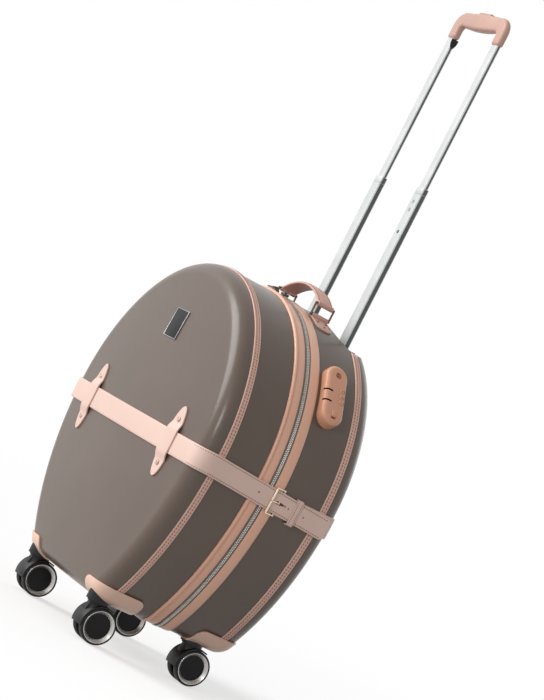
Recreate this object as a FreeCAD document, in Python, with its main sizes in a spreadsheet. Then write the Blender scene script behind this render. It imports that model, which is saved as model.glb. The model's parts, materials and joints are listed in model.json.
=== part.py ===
"""A round-topped travel case on four casters, with a buckled strap and a telescopic trolley.

The frame is +Z up, +X to the right and +Y to the back, seen from the front. The origin is on the floor under
the middle of the case, and the zip runs in the plane y = 0. All sizes are in millimetres.
"""
import FreeCAD, Part
import ast
import math
import operator
import os
import re

import Sketcher
from FreeCAD import Placement, Rotation, Vector

DRIVING_SIZES = {
    # The outline of the case, seen from the front, and its depth
    "centre_height": 300.0,
    "outline_radius": 225.0,
    "side_radius": 345.0,
    "floor_drop": 242.5,
    "corner_radius": 30.0,
    "lid_depth": 120.0,
    "rear_depth": 116.0,
    "dome_radius": 2600.0,
    "edge_radius": 24.0,
    "wall": 3.0,
    # Bindings, zip and lining
    "binding_thickness": 1.6,
    "binding_width": 10.0,
    "lid_binding_reach": 88.0,
    "rear_binding_reach": 92.0,
    "trim_thickness": 2.6,
    "lid_trim_reach": 22.0,
    "rear_trim_reach": 20.0,
    "tape_thickness": 1.2,
    "tape_reach": 5.0,
    "teeth_height": 2.2,
    "teeth_reach": 2.2,
    "zip_gap": 0.2,
    "lining_gap": 0.2,
    "lining_thickness": 1.2,
    "false_back": 34.0,
    "lining_edge": 12.0,
    # The recess at the back of the top, where the trolley comes out
    "recess_drop": 27.0,
    "cove_radius": 39.0,
    "tube_inset": 24.0,
    # Straps, keepers and buckle
    "strap_width": 30.0,
    "strap_height": 284.0,
    "strap_slope": 3.6,
    "strap_thickness": 2.8,
    "strap_lift": 2.9,
    "strap_face_gap": 0.2,
    "strap_tail": 106.0,
    "strap_tail_cut": 7.0,
    "strap_end": 30.0,
    "under_strap_gap": 0.3,
    "under_strap_thickness": 2.4,
    "keeper_spacing": 139.0,
    "keeper_length": 100.0,
    "keeper_width": 35.0,
    "keeper_thickness": 2.0,
    "keeper_rivet_offset": 30.0,
    "rivet_radius": 3.0,
    "rivet_head": 1.2,
    "buckle_front": 7.5,
    "buckle_heel": 22.0,
    "buckle_bar_radius": 1.0,
    "buckle_half_width": 18.0,
    "prong_radius": 0.9,
    "prong_ring_radius": 1.4,
    "prong_slot_width": 4.4,
    "prong_slot_length": 7.5,
    "prong_notch_length": 6.0,
    "strap_loop_start": 40.0,
    "strap_loop_width": 13.0,
    "strap_loop_thickness": 1.6,
    "badge_width": 38.0,
    "badge_height": 42.0,
    "badge_rise": 126.0,
    "badge_thickness": 2.0,
    # Corner guards and casters
    "guard_thickness": 2.5,
    "guard_rise": 22.5,
    "guard_inset": 135.0,
    "lid_guard_end": 41.0,
    "rear_guard_end": 50.0,
    "guard_rounding": 11.0,
    "caster_inset": 113.0,
    "front_caster_setback": 90.0,
    "rear_caster_setback": 64.0,
    "caster_trail": 12.0,
    "wheel_radius": 25.0,
    "rim_radius": 22.0,
    "ring_radius": 18.0,
    "tyre_inner_face": 5.0,
    "tyre_outer_face": 16.0,
    "hub_recess": 4.0,
    "axle_radius": 3.0,
    "fork_half_width": 4.4,
    "hood_gap": 0.6,
    "hood_thickness": 1.8,
    "hood_half_width": 15.6,
    "hood_start": 70.0,
    "hood_sector": 125.0,
    "neck_radius": 11.0,
    "turntable_radius": 13.0,
    "turntable_thickness": 2.0,
    "caster_plate_radius": 16.0,
    "caster_plate_thickness": 2.0,
    "stem_radius": 4.0,
    "running_gap": 0.05,
    "swivel_gap": 0.3,
    # Trolley
    "tube_half_spacing": 61.0,
    "base_tube_width": 25.0,
    "base_tube_depth": 14.0,
    "base_tube_wall": 1.5,
    "base_tube_bottom": 232.0,
    "middle_tube_width": 20.6,
    "middle_tube_depth": 10.0,
    "middle_tube_wall": 1.2,
    "middle_tube_bottom": 460.0,
    "middle_tube_top": 734.0,
    "inner_tube_width": 17.0,
    "inner_tube_depth": 7.0,
    "inner_tube_wall": 1.0,
    "inner_tube_bottom": 690.0,
    "tube_rounding": 2.0,
    "collar_height": 10.0,
    "bezel_height": 5.0,
    "bezel_margin": 11.0,
    "foot_height": 14.0,
    "foot_seat": 6.0,
    "grip_half_width": 72.0,
    "grip_depth": 20.0,
    "grip_leg_bottom": 963.0,
    "grip_underside": 983.0,
    "grip_top": 1005.0,
    "grip_leg_width": 24.0,
    "grip_corner": 17.0,
    "grip_rounding": 5.0,
    "tube_socket_depth": 22.0,
    "button_half_length": 16.0,
    "button_half_width": 5.0,
    "button_height": 12.0,
    "button_proud": 2.4,
    "button_gap": 0.3,
    "release_rod_radius": 1.5,
    "release_rod_bottom": 720.0,
    "release_arm": 3.0,
    # Carry handle
    "handle_setback": 41.0,
    "handle_half_span": 59.0,
    "handle_width": 25.4,
    "handle_thickness": 5.5,
    "handle_arch_radius": 103.0,
    "loop_height": 17.5,
    "loop_width": 33.6,
    "loop_bar_radius": 1.5,
    "knuckle_radius": 3.6,
    "chape_length_angle": 9.0,
    "chape_width": 26.4,
    "chape_thickness": 2.2,
    "stud_radius": 1.6,
    "stud_head": 0.8,
    # Lock
    "lock_angle": 55.0,
    "lock_setback": 42.0,
    "lock_half_length": 44.5,
    "lock_half_width": 17.0,
    "lock_height": 13.0,
    "lock_rounding": 6.0,
    "dial_radius": 7.0,
    "dial_thickness": 5.0,
    "dial_pitch": 9.0,
    "dial_offset": 8.5,
    "dial_proud": 1.2,
    "dial_gap": 0.3,
    "key_plug_radius": 4.5,
    "key_plug_shift": 29.0,
    "key_plug_sunk": 1.5,
    "keyway_width": 1.2,
    "pull_slot_near": 3.5,
    "pull_slot_far": 12.5,
    "pull_slot_width": 2.4,
    "pull_slot_depth": 11.0,
    "lock_button_length": 9.0,
    "lock_button_width": 7.0,
    "lock_button_travel": 3.0,
    "lock_button_proud": 1.4,
    # Zip sliders
    "slider_angle": 4.0,
    "slider_length": 12.0,
    "slider_width": 9.0,
    "slider_height": 3.6,
    "slider_gap": 0.3,
    "lug_half_width": 1.3,
    "pull_pin_radius": 1.0,
    "pull_length": 22.0,
    "pull_half_width": 3.5,
    "pull_thickness": 1.6,
    # Hinge strip on the left side
    "hinge_strip_reach": 24.0,
    "hinge_strip_thickness": 0.8,
    "hinge_strip_half_height": 60.0,
}

doc = FreeCAD.newDocument("Suitcase")
sheet = doc.addObject("Spreadsheet::Sheet", "Sizes")
for row, (alias, value) in enumerate(DRIVING_SIZES.items(), start=1):
    sheet.set(f"A{row}", alias)
    sheet.set(f"B{row}", str(value))
    sheet.setAlias(f"B{row}", alias)
doc.recompute()

nodes = []

ARITHMETIC = {ast.Add: operator.add, ast.Sub: operator.sub,
              ast.Mult: operator.mul, ast.Div: operator.truediv}


def size(alias):
    """The value of one driving size, read from the sheet."""
    return float(sheet.get(alias))


def measure(term):
    """The value of a parsed sum, product or quotient of driving sizes and numbers."""
    if isinstance(term, ast.Name):
        return size(term.id)
    if isinstance(term, ast.Constant):
        return float(term.value)
    if isinstance(term, ast.UnaryOp):
        return -measure(term.operand)
    return ARITHMETIC[type(term.op)](measure(term.left), measure(term.right))


def amount(text):
    """The value of an expression in driving sizes, such as '(wall + lining_gap) / 2'."""
    return measure(ast.parse(str(text)).body[0].value)


def bound(text):
    """The expression that ties a property to a sum of driving sizes."""
    return re.sub(r"[A-Za-z_]\w*", lambda word: "Sizes." + word.group(0), str(text))


def place(item, x="0", y="0", z="0", rotation=None):
    """Puts an object at a point given by three sums of driving sizes, turned if asked."""
    item.Placement = Placement(Vector(0, 0, 0), rotation or Rotation())
    for axis, text in zip("xyz", (x, y, z)):
        item.setExpression(f"Placement.Base.{axis}", bound(text))
    return item


def box(name, low, high):
    """A block between two corners."""
    block = doc.addObject("Part::Box", name)
    place(block, *low)
    for side, start, end in zip(("Length", "Width", "Height"), low, high):
        block.setExpression(side, bound(f"({end}) - ({start})"))
    return block


def cylinder(name, base, direction, radius, length, sector="360", first=None):
    """A cylinder from a base point along a direction, whole or as a sector from the direction first."""
    rod = doc.addObject("Part::Cylinder", name)
    turn = Rotation(Vector(0, 0, 1), Vector(*direction))
    if first is not None:
        axis = Vector(*direction)
        turn = Rotation(first, axis.cross(first), axis, "ZXY")
    place(rod, *base, rotation=turn)
    rod.setExpression("Radius", bound(radius))
    rod.setExpression("Height", bound(length))
    rod.setExpression("Angle", bound(sector))
    return rod


def cut(name, base, tool):
    """The base with the tool taken away."""
    result = doc.addObject("Part::Cut", name)
    result.Base = base
    result.Tool = tool
    return result


def fuse(name, *shapes):
    """The shapes joined into one."""
    result = doc.addObject("Part::MultiFuse", name)
    result.Shapes = list(shapes)
    result.Refine = True
    return result


def common(name, *shapes):
    """What the shapes share."""
    result = doc.addObject("Part::MultiCommon", name)
    result.Shapes = list(shapes)
    return result


def group(name, *shapes):
    """Separate solids that make one node."""
    result = doc.addObject("Part::Compound", name)
    result.Links = list(shapes)
    return result


def mirrored(name, source, normal=Vector(1, 0, 0)):
    """The source reflected in a plane through the origin."""
    result = doc.addObject("Part::Mirroring", name)
    result.Source = source
    result.Normal = normal
    return result


def rounded(name, base, picks, radius, kind="Part::Fillet"):
    """The base with the edges that picks chooses rounded, or cut off at an angle."""
    doc.recompute()
    result = doc.addObject(kind, name)
    result.Base = base
    reach = amount(radius)
    result.Edges = [(i, reach, reach) for i, edge in enumerate(base.Shape.Edges, 1) if picks(edge)]
    return result


def node(name, item):
    """Names a finished sub-part."""
    item.Label = name
    nodes.append(item)
    return item


# Sketches


def add_polygon(sketch, points):
    """Adds a closed outline whose corners are tied to the sheet, and leaves it fully constrained."""
    first = sketch.GeometryCount
    values = [(amount(x), amount(y)) for x, y in points]
    count = len(points)
    for i, start in enumerate(values):
        end = values[(i + 1) % count]
        sketch.addGeometry(Part.LineSegment(Vector(*start, 0), Vector(*end, 0)))
    for i in range(count):
        sketch.addConstraint(Sketcher.Constraint("Coincident", first + i, 2, first + (i + 1) % count, 1))
    for i, (texts, numbers) in enumerate(zip(points, values)):
        for kind, axis, text, number in zip(("DistanceX", "DistanceY"), (-2, -1), texts, numbers):
            if abs(number) < 1e-9:
                sketch.addConstraint(Sketcher.Constraint("PointOnObject", first + i, 1, axis))
                continue
            index = sketch.addConstraint(Sketcher.Constraint(kind, -1, 1, first + i, 1, number))
            sketch.setExpression(f"Constraints[{index}]", bound(text))


def rectangle(low_x, low_y, high_x, high_y):
    """The corners of an upright rectangle."""
    return [(low_x, low_y), (high_x, low_y), (high_x, high_y), (low_x, high_y)]


def body_sketch(part, name, role, *outlines):
    """A sketch on one of a body's own origin planes, holding closed outlines."""
    sketch = part.newObject("Sketcher::SketchObject", name)
    plane = next(feature for feature in part.Origin.OriginFeatures if feature.Role == role)
    sketch.AttachmentSupport = [(plane, "")]
    sketch.MapMode = "FlatFace"
    for outline in outlines:
        add_polygon(sketch, outline)
    return sketch


def new_body(name):
    """An empty body that may hold more than one solid."""
    part = doc.addObject("PartDesign::Body", name)
    part.AllowCompound = True
    return part


def pad(part, sketch, length, symmetric=False):
    """A pad of a sketch, upwards or to both sides."""
    feature = part.newObject("PartDesign::Pad", sketch.Name + "_pad")
    feature.Profile = sketch
    feature.setExpression("Length", bound(length))
    if symmetric:
        feature.SideType = "Symmetric"
    return feature


def revolve(part, sketch, axis):
    """A full turn of a sketch about one of its own axes."""
    feature = part.newObject("PartDesign::Revolution", sketch.Name + "_turn")
    feature.Profile = sketch
    feature.ReferenceAxis = (sketch, [axis])
    feature.Angle = 360
    return feature


def soften(part, feature, picks, radius):
    """Rounds the edges of a body that picks chooses."""
    doc.recompute()
    names = [f"Edge{i}" for i, edge in enumerate(feature.Shape.Edges, 1) if picks(edge)]
    fillet = part.newObject("PartDesign::Fillet", feature.Name + "_fillet")
    fillet.Base = (feature, names)
    fillet.setExpression("Radius", bound(radius))
    return fillet


def runs_along(edge, axis):
    """Whether an edge is straight and runs along an axis given as x, y or z."""
    if not isinstance(edge.Curve, Part.Line):
        return False
    return abs(abs(getattr(edge.Curve.Direction, axis)) - 1) < 1e-6


# The case outline: a half circle, two wider side arcs, two small corners and a flat base

BEHIND = Vector(0, 1, 0)


def outline_sketch(name, start, *grows):
    """The case outline at y = start, once for each distance that it is grown by."""
    sketch = doc.addObject("Sketcher::SketchObject", name)
    place(sketch, "0", start, "centre_height", Rotation(Vector(1, 0, 0), 90))
    shift = size("side_radius") - size("outline_radius")
    corner_rise = size("corner_radius") - size("floor_drop")
    corner_reach = math.sqrt((size("side_radius") - size("corner_radius")) ** 2 - corner_rise ** 2)
    corner_x = corner_reach - shift
    lean = math.atan2(corner_rise, corner_reach)
    for grow in grows:
        first = sketch.GeometryCount
        top = amount("outline_radius") + amount(grow)
        side = amount("side_radius") + amount(grow)
        corner = amount("corner_radius") + amount(grow)
        base = -(amount("floor_drop") + amount(grow))
        up = Vector(0, 0, 1)
        left = Part.Circle(Vector(shift, 0, 0), up, side)
        left_corner = Part.Circle(Vector(-corner_x, corner_rise, 0), up, corner)
        right_corner = Part.Circle(Vector(corner_x, corner_rise, 0), up, corner)
        right = Part.Circle(Vector(-shift, 0, 0), up, side)
        sketch.addGeometry(Part.ArcOfCircle(Part.Circle(Vector(0, 0, 0), up, top), 0, math.pi))
        sketch.addGeometry(Part.ArcOfCircle(left, math.pi, math.pi - lean))
        sketch.addGeometry(Part.ArcOfCircle(left_corner, math.pi - lean, 1.5 * math.pi))
        sketch.addGeometry(Part.LineSegment(Vector(-corner_x, base, 0), Vector(corner_x, base, 0)))
        sketch.addGeometry(Part.ArcOfCircle(right_corner, -0.5 * math.pi, lean))
        sketch.addGeometry(Part.ArcOfCircle(right, lean, 0))
        sketch.addConstraint(Sketcher.Constraint("Coincident", first, 2, first + 1, 1))
        for i in (1, 2, 3, 4):
            sketch.addConstraint(Sketcher.Constraint("Tangent", first + i, 2, first + i + 1, 1))
        sketch.addConstraint(Sketcher.Constraint("Coincident", first + 5, 2, first, 1))
        sketch.addConstraint(Sketcher.Constraint("Coincident", first, 3, -1, 1))
        for curve, point in ((1, 3), (5, 3), (0, 1), (0, 2)):
            sketch.addConstraint(Sketcher.Constraint("PointOnObject", first + curve, point, -1))
        sketch.addConstraint(Sketcher.Constraint("Horizontal", first + 3))
        driving = [("DistanceY", (first + 3, 1, -1, 1), "floor_drop", -base)]
        for curve, alias, radius in ((0, "outline_radius", top), (1, "side_radius", side),
                                     (5, "side_radius", side), (2, "corner_radius", corner),
                                     (4, "corner_radius", corner)):
            driving.append(("Radius", (first + curve,), alias, radius))
        for kind, where, alias, value in driving:
            index = sketch.addConstraint(Sketcher.Constraint(kind, *where, value))
            sketch.setExpression(f"Constraints[{index}]", bound(f"{alias} + ({grow})"))
    return sketch


def outline_block(name, start, end, *grows):
    """The outline drawn out from y = start to y = end: a block, or a ring for two outlines."""
    block = doc.addObject("Part::Extrusion", name)
    block.Base = outline_sketch(name + "_outline", start, *grows)
    block.DirMode = "Custom"
    block.Dir = BEHIND
    block.Solid = True
    block.setExpression("LengthFwd", bound(f"({end}) - ({start})"))
    return block


def rim_of(shape, is_end):
    """A test for the edges round the one face that is_end chooses."""
    end = next(face for face in shape.Faces if is_end(face))
    return lambda edge: any(edge.isSame(other) for other in end.Edges)


def dome(name, grow):
    """The ball whose surface is the front face grown by grow."""
    ball = doc.addObject("Part::Sphere", name)
    place(ball, "0", "dome_radius - lid_depth", "centre_height")
    ball.setExpression("Radius", bound(f"dome_radius + ({grow})"))
    return ball


def lid_form(name, band, face, end, edge):
    """The domed front half, grown by band round its outline and by face in front, up to y = end."""
    blank = outline_block(name + "_blank", "-lid_depth - edge_radius", end, band)
    domed = common(name + "_domed", blank, dome(name + "_dome", face))
    doc.recompute()
    rim = rim_of(domed.Shape, lambda surface: isinstance(surface.Surface, Part.Sphere))
    return rounded(name, domed, rim, edge)


def rear_form(name, band, face, start, edge):
    """The flat-backed rear half, grown by band round its outline and by face at the back, from y = start."""
    back = f"rear_depth + ({face})"
    blank = outline_block(name + "_blank", start, back, band)
    doc.recompute()
    rim = rim_of(blank.Shape, lambda surface: surface.BoundBox.YMin > amount(back) - 0.01)
    return rounded(name, blank, rim, edge)


TUBE_SETBACK = "rear_depth - tube_inset"
FLOOR_OF_RECESS = "centre_height + outline_radius - recess_drop"


def recess(name, grow):
    """The space of the trolley recess: a cove that runs into a flat floor, grown by grow."""
    half = "outline_radius"
    axis_height = f"{FLOOR_OF_RECESS} + cove_radius"
    cove = cylinder(name + "_cove", (f"-{half}", TUBE_SETBACK, axis_height), (1, 0, 0),
                    f"cove_radius + ({grow})", f"{half} + {half}")
    land = box(name + "_land", (f"-{half}", TUBE_SETBACK, f"{FLOOR_OF_RECESS} - ({grow})"),
               (half, "rear_depth + rear_depth", f"{axis_height} + cove_radius"))
    return fuse(name, cove, land)


def tube_sections(width, depth, grow="0"):
    """The outlines of the two trolley tubes, seen from above, grown by grow."""
    half_width = f"{width} / 2 + ({grow})"
    half_depth = f"{depth} / 2 + ({grow})"
    return [rectangle(f"{side}tube_half_spacing - ({half_width})", f"-({half_depth})",
                      f"{side}tube_half_spacing + {half_width}", half_depth) for side in ("-", "")]


def tube_pair(name, low, high, *sections):
    """A pair of upright tubes or blocks from z = low to z = high, by their sections."""
    part = new_body(name)
    sketch = body_sketch(part, name + "_section", "XY_Plane", *sections)
    pad(part, sketch, f"({high}) - ({low})")
    return place(part, "0", TUBE_SETBACK, low)


def hollow_tubes(name, low, high, width, depth, thickness):
    """A pair of tubes with rounded outer corners."""
    part = new_body(name)
    outer = tube_sections(width, depth)
    inner = tube_sections(width, depth, f"-{thickness}")
    sketch = body_sketch(part, name + "_section", "XY_Plane", *outer, *inner)
    tube = pad(part, sketch, f"({high}) - ({low})")
    half_depth = amount(depth) / 2

    def is_outer_corner(edge):
        return runs_along(edge, "z") and abs(abs(edge.CenterOfMass.y) - half_depth) < 0.01

    soften(part, tube, is_outer_corner, "tube_rounding")
    return node(name, place(part, "0", TUBE_SETBACK, low))


# Shells, linings, bindings and zip

FRONT = "-lid_depth - edge_radius"

trolley_recess = recess("trolley_recess", "0")
lid_block = lid_form("lid_block", "0", "0", "-zip_gap", "edge_radius")
lid_space = lid_form("lid_space", "-wall", "-wall", "wall", "edge_radius - wall")
node("lid_shell", cut("lid_shell", lid_block, lid_space))

rear_block = cut("rear_block", rear_form("rear_full", "0", "0", "zip_gap", "edge_radius"), trolley_recess)
rear_space = cut("rear_space", rear_form("rear_space_full", "-wall", "-wall", "-wall", "edge_radius - wall"),
                 recess("recess_inside", "wall"))
tube_holes = tube_pair("tube_holes", "base_tube_bottom", f"{FLOOR_OF_RECESS} + wall",
                       *tube_sections("base_tube_width", "base_tube_depth", "running_gap"))
rear_open = cut("rear_open", rear_block, rear_space)
node("rear_shell", cut("rear_shell", rear_open, tube_holes))

LINING_FACE = "-wall - lining_gap"
LID_LINING_EDGE = "edge_radius - wall - lining_gap"
lid_lining_outside = lid_form("lid_lining_outside", LINING_FACE, LINING_FACE, "-zip_gap", LID_LINING_EDGE)
lid_lining_inside = lid_form("lid_lining_inside", f"{LINING_FACE} - lining_thickness",
                             f"{LINING_FACE} - lining_thickness", "wall",
                             f"{LID_LINING_EDGE} - lining_thickness")
node("lid_lining", cut("lid_lining", lid_lining_outside, lid_lining_inside))

rear_lining_outside = cut("rear_lining_outside",
                          rear_form("rear_lining_full", LINING_FACE, "-false_back", "zip_gap", "lining_edge"),
                          recess("recess_at_lining", "wall + lining_gap"))
rear_lining_inside = cut("rear_lining_inside",
                         rear_form("rear_lining_hollow", f"{LINING_FACE} - lining_thickness",
                                   "-false_back - lining_thickness", "-wall",
                                   "lining_edge - lining_thickness"),
                         recess("recess_in_lining", "wall + lining_gap + lining_thickness"))
node("rear_lining", cut("rear_lining", rear_lining_outside, rear_lining_inside))

lid_binding = outline_block("lid_binding", "-lid_binding_reach", "-lid_binding_reach + binding_width",
                            "binding_thickness", "0")
node("lid_binding", lid_binding)
rear_binding_ring = outline_block("rear_binding_ring", "rear_binding_reach - binding_width",
                                  "rear_binding_reach", "binding_thickness", "0")
rear_binding = node("rear_binding", cut("rear_binding", rear_binding_ring, trolley_recess))
lid_zip_trim = outline_block("lid_zip_trim", "-lid_trim_reach", "-tape_reach", "trim_thickness", "0")
node("lid_zip_trim", lid_zip_trim)
rear_zip_trim = outline_block("rear_zip_trim", "tape_reach", "rear_trim_reach", "trim_thickness", "0")
node("rear_zip_trim", rear_zip_trim)
for half, edge, teeth, seam in (("lid", "-tape_reach", "-teeth_reach", "-zip_gap"),
                                ("rear", "tape_reach", "teeth_reach", "zip_gap")):
    low, high = (edge, seam) if half == "lid" else (seam, edge)
    low_teeth, high_teeth = (teeth, seam) if half == "lid" else (seam, teeth)
    tape = outline_block(f"{half}_tape_band", low, high, "tape_thickness", "0")
    rib = outline_block(f"{half}_teeth_band", low_teeth, high_teeth, "teeth_height", "0")
    node(f"{half}_zip_tape", fuse(f"{half}_zip_tape", tape, rib))

hinge_ring = outline_block("hinge_ring", "-hinge_strip_reach", "hinge_strip_reach",
                           "trim_thickness + hinge_strip_thickness", "trim_thickness + zip_gap / 2")
hinge_window = box("hinge_window",
                   ("-outline_radius - edge_radius", "-hinge_strip_reach",
                    "centre_height - hinge_strip_half_height"),
                   ("0", "hinge_strip_reach", "centre_height + hinge_strip_half_height"))
node("hinge_strip", common("hinge_strip", hinge_ring, hinge_window))

# Straps round the case

WIDE = "outline_radius + edge_radius"
LOW_EDGE = "strap_height - strap_width / 2"
HIGH_EDGE = "strap_height + strap_width / 2"
strap_outside = lid_form("strap_outside", "strap_lift + strap_thickness", "strap_face_gap + strap_thickness",
                         "strap_tail", "edge_radius + strap_thickness")
strap_inside = lid_form("strap_inside", "strap_lift", "strap_face_gap", "strap_tail + wall", "edge_radius")
front_run = box("front_run", (f"-({WIDE})", FRONT, LOW_EDGE), (WIDE, "-lid_binding_reach", HIGH_EDGE))
left_run = box("left_run", (f"-({WIDE})", "-lid_binding_reach", LOW_EDGE), ("0", "-strap_end", HIGH_EDGE))
right_run = box("right_run", ("0", "0", "0"), (WIDE, "lid_binding_reach + strap_tail", "strap_width"))
place(right_run, "0", "-lid_binding_reach - strap_thickness", LOW_EDGE,
      Rotation(Vector(1, 0, 0), -size("strap_slope")))


def is_tail_corner(edge):
    """Whether an edge is one of the two at the strap's free end."""
    return runs_along(edge, "x") and edge.CenterOfMass.y > size("rear_binding_reach")


tail_run = rounded("tail_run", right_run, is_tail_corner, "strap_tail_cut", "Part::Chamfer")
strap_path = fuse("strap_path", front_run, left_run, tail_run)
strap_skin = cut("strap_skin", strap_outside, strap_inside)


def strap_middle(setback):
    """The height of the strap's middle line at y = setback on the right side."""
    run = amount("lid_binding_reach + strap_thickness") + amount(setback)
    return amount("strap_height") - run * math.tan(math.radians(size("strap_slope")))


BUCKLE_HEIGHT = strap_middle("(buckle_front + buckle_heel) / 2")
prong_slot = box("prong_slot",
                 ("0", "buckle_heel - prong_slot_length", f"{BUCKLE_HEIGHT} - prong_slot_width / 2"),
                 (WIDE, "buckle_heel + 2.5 * buckle_bar_radius", f"{BUCKLE_HEIGHT} + prong_slot_width / 2"))
front_strap = cut("front_strap", common("strap_blank", strap_skin, strap_path), prong_slot)
node("front_strap", front_strap)

under_outside = rear_form("under_outside", "under_strap_gap + under_strap_thickness",
                          "under_strap_gap + under_strap_thickness", "0",
                          "edge_radius + under_strap_thickness")
under_inside = rear_form("under_inside", "under_strap_gap", "under_strap_gap", "-wall", "edge_radius")
under_skin = cut("under_skin", under_outside, under_inside)
SEAT_OF_HEEL = "buckle_heel + prong_ring_radius + zip_gap"
SIDE_DROP = f"{strap_middle('(strap_loop_start + strap_loop_start + strap_loop_width) / 2')} - strap_width / 2"
SIDE_RISE = f"{SIDE_DROP} + strap_width"
under_right = box("under_right", ("0", SEAT_OF_HEEL, SIDE_DROP), (WIDE, "rear_depth", SIDE_RISE))
under_back = box("under_back", (f"-({WIDE})", "rear_binding_reach", SIDE_DROP),
                 (WIDE, "rear_depth + edge_radius", SIDE_RISE))
under_left = box("under_left", (f"-({WIDE})", "strap_end", SIDE_DROP), ("0", "rear_depth", SIDE_RISE))
under_path = fuse("under_path", under_right, under_back, under_left)
under_band = common("under_band", under_skin, under_path)
binding_room = outline_block("binding_room", "rear_binding_reach - binding_width - zip_gap",
                             "rear_binding_reach + zip_gap", "binding_thickness + zip_gap", "0")
prong_notch = box("prong_notch", ("0", "buckle_heel", f"{BUCKLE_HEIGHT} - prong_slot_width / 2"),
                  (WIDE, f"{SEAT_OF_HEEL} + prong_notch_length", f"{BUCKLE_HEIGHT} + prong_slot_width / 2"))
node("buckle_strap", cut("buckle_strap", under_band, fuse("under_cuts", binding_room, prong_notch)))

# Fittings on the front: keepers, rivets and the bare badge plate


def leaf(name, x):
    """An upright leaf-shaped prism through the front face, centred on the strap."""
    edge = doc.addObject("Part::Ellipse", name + "_edge")
    place(edge, x, FRONT, "strap_height", Rotation(Vector(0, 0, 1), Vector(1, 0, 0), BEHIND, "ZXY"))
    edge.setExpression("MajorRadius", bound("keeper_length / 2"))
    edge.setExpression("MinorRadius", bound("keeper_width / 2"))
    prism = doc.addObject("Part::Extrusion", name)
    prism.Base = edge
    prism.DirMode = "Custom"
    prism.Dir = BEHIND
    prism.Solid = True
    prism.setExpression("LengthFwd", bound("edge_radius * 2"))
    return prism


STRAP_TOP = "strap_face_gap + strap_thickness + strap_face_gap"
front_face = dome("front_face", "0")
keeper_face = dome("keeper_face", "keeper_thickness")
bridge_face = dome("bridge_face", f"{STRAP_TOP} + keeper_thickness")
strap_face = dome("strap_face", STRAP_TOP)
rivet_face = dome("rivet_face", "keeper_thickness + rivet_head")
bridge_zone = box("bridge_zone", (f"-({WIDE})", FRONT, f"{LOW_EDGE} - keeper_thickness"),
                  (WIDE, "0", f"{HIGH_EDGE} + keeper_thickness"))
strap_zone = box("strap_zone", (f"-({WIDE})", FRONT, f"{LOW_EDGE} - strap_face_gap"),
                 (WIDE, "0", f"{HIGH_EDGE} + strap_face_gap"))
strap_room = fuse("strap_room", front_face, common("strap_tunnel", strap_face, strap_zone))
keepers = []
rivets = []
for side, sign in (("left", "-"), ("right", "")):
    prism = leaf(f"{side}_leaf", f"{sign}keeper_spacing")
    pads = common(f"{side}_keeper_pads", prism, keeper_face)
    bridge = common(f"{side}_keeper_bridge", prism, bridge_face, bridge_zone)
    keepers.append(cut(f"{side}_keeper", fuse(f"{side}_keeper_blank", pads, bridge), strap_room))
    for level, shift in (("upper", "+ keeper_rivet_offset"), ("lower", "- keeper_rivet_offset")):
        shank = cylinder(f"{side}_{level}_shank", (f"{sign}keeper_spacing", FRONT, f"strap_height {shift}"),
                         (0, 1, 0), "rivet_radius", "edge_radius * 2")
        head = common(f"{side}_{level}_head", shank, rivet_face)
        rivets.append(cut(f"{side}_{level}_rivet", head, keeper_face))
node("strap_keepers", group("strap_keepers", *keepers))
node("lid_rivets", group("lid_rivets", *rivets))

badge_block = box("badge_block", ("-badge_width / 2", FRONT, "centre_height + badge_rise - badge_height / 2"),
                  ("badge_width / 2", "0", "centre_height + badge_rise + badge_height / 2"))
badge_face = dome("badge_face", "badge_thickness")
node("badge_plate", cut("badge_plate", common("badge_blank", badge_block, badge_face), front_face))

# Corner guards

GUARD_INNER = "outline_radius - guard_inset"
GUARD_TOP = "centre_height - floor_drop + guard_rise"
GUARDED_EDGE = "edge_radius + guard_thickness"
guards_lid_form = lid_form("guards_lid_form", "guard_thickness", "guard_thickness", "-zip_gap", GUARDED_EDGE)
guards_rear_form = rear_form("guards_rear_form", "guard_thickness", "guard_thickness", "zip_gap", GUARDED_EDGE)


def corner_guards(name, form, core, binding, near, far, end):
    """A pair of guards cut from the skin round one half's lower corners."""
    block = box(name + "_block", (GUARD_INNER, near, "0"), (WIDE, far, GUARD_TOP))
    end_place = amount(end)

    def is_free_edge(edge):
        middle = edge.CenterOfMass
        if middle.z < amount(GUARD_TOP) - 0.01:
            return False
        inner = runs_along(edge, "y") and abs(middle.x - amount(GUARD_INNER)) < 0.01
        return inner or (runs_along(edge, "x") and abs(middle.y - end_place) < 0.01)

    zone = rounded(name + "_zone", block, is_free_edge, "guard_rounding")
    skin = cut(name + "_skin", form, core)
    right = cut(name + "_right", common(name + "_blank", skin, zone), binding)
    return node(name, group(name, right, mirrored(name + "_left", right)))


corner_guards("lid_corner_guards", guards_lid_form, lid_block, lid_binding, FRONT, "-lid_guard_end",
              "-lid_guard_end")
corner_guards("rear_corner_guards", guards_rear_form, rear_block, rear_binding_ring, "rear_guard_end",
              "rear_depth + edge_radius", "rear_guard_end")

# Casters

CASTER_SPREAD = "outline_radius - caster_inset"
PLATE_TOP = "centre_height - floor_drop - guard_thickness"
PLATE_BOTTOM = f"{PLATE_TOP} - caster_plate_thickness"
TURNTABLE_TOP = f"{PLATE_BOTTOM} - swivel_gap"
TURNTABLE_BOTTOM = f"{TURNTABLE_TOP} - turntable_thickness"


def caster_plates(name, form, setback):
    """Two plates that seat on the guards and carry the casters' stems."""
    disc = cylinder(name + "_disc", (CASTER_SPREAD, setback, PLATE_BOTTOM), (0, 0, 1), "caster_plate_radius",
                    "edge_radius")
    hole = cylinder(name + "_hole", (CASTER_SPREAD, setback, "0"), (0, 0, 1), "stem_radius + running_gap",
                    "centre_height")
    right = cut(name + "_right", cut(name + "_blank", disc, form), hole)
    return node(name, group(name, right, mirrored(name + "_left", right)))


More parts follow.
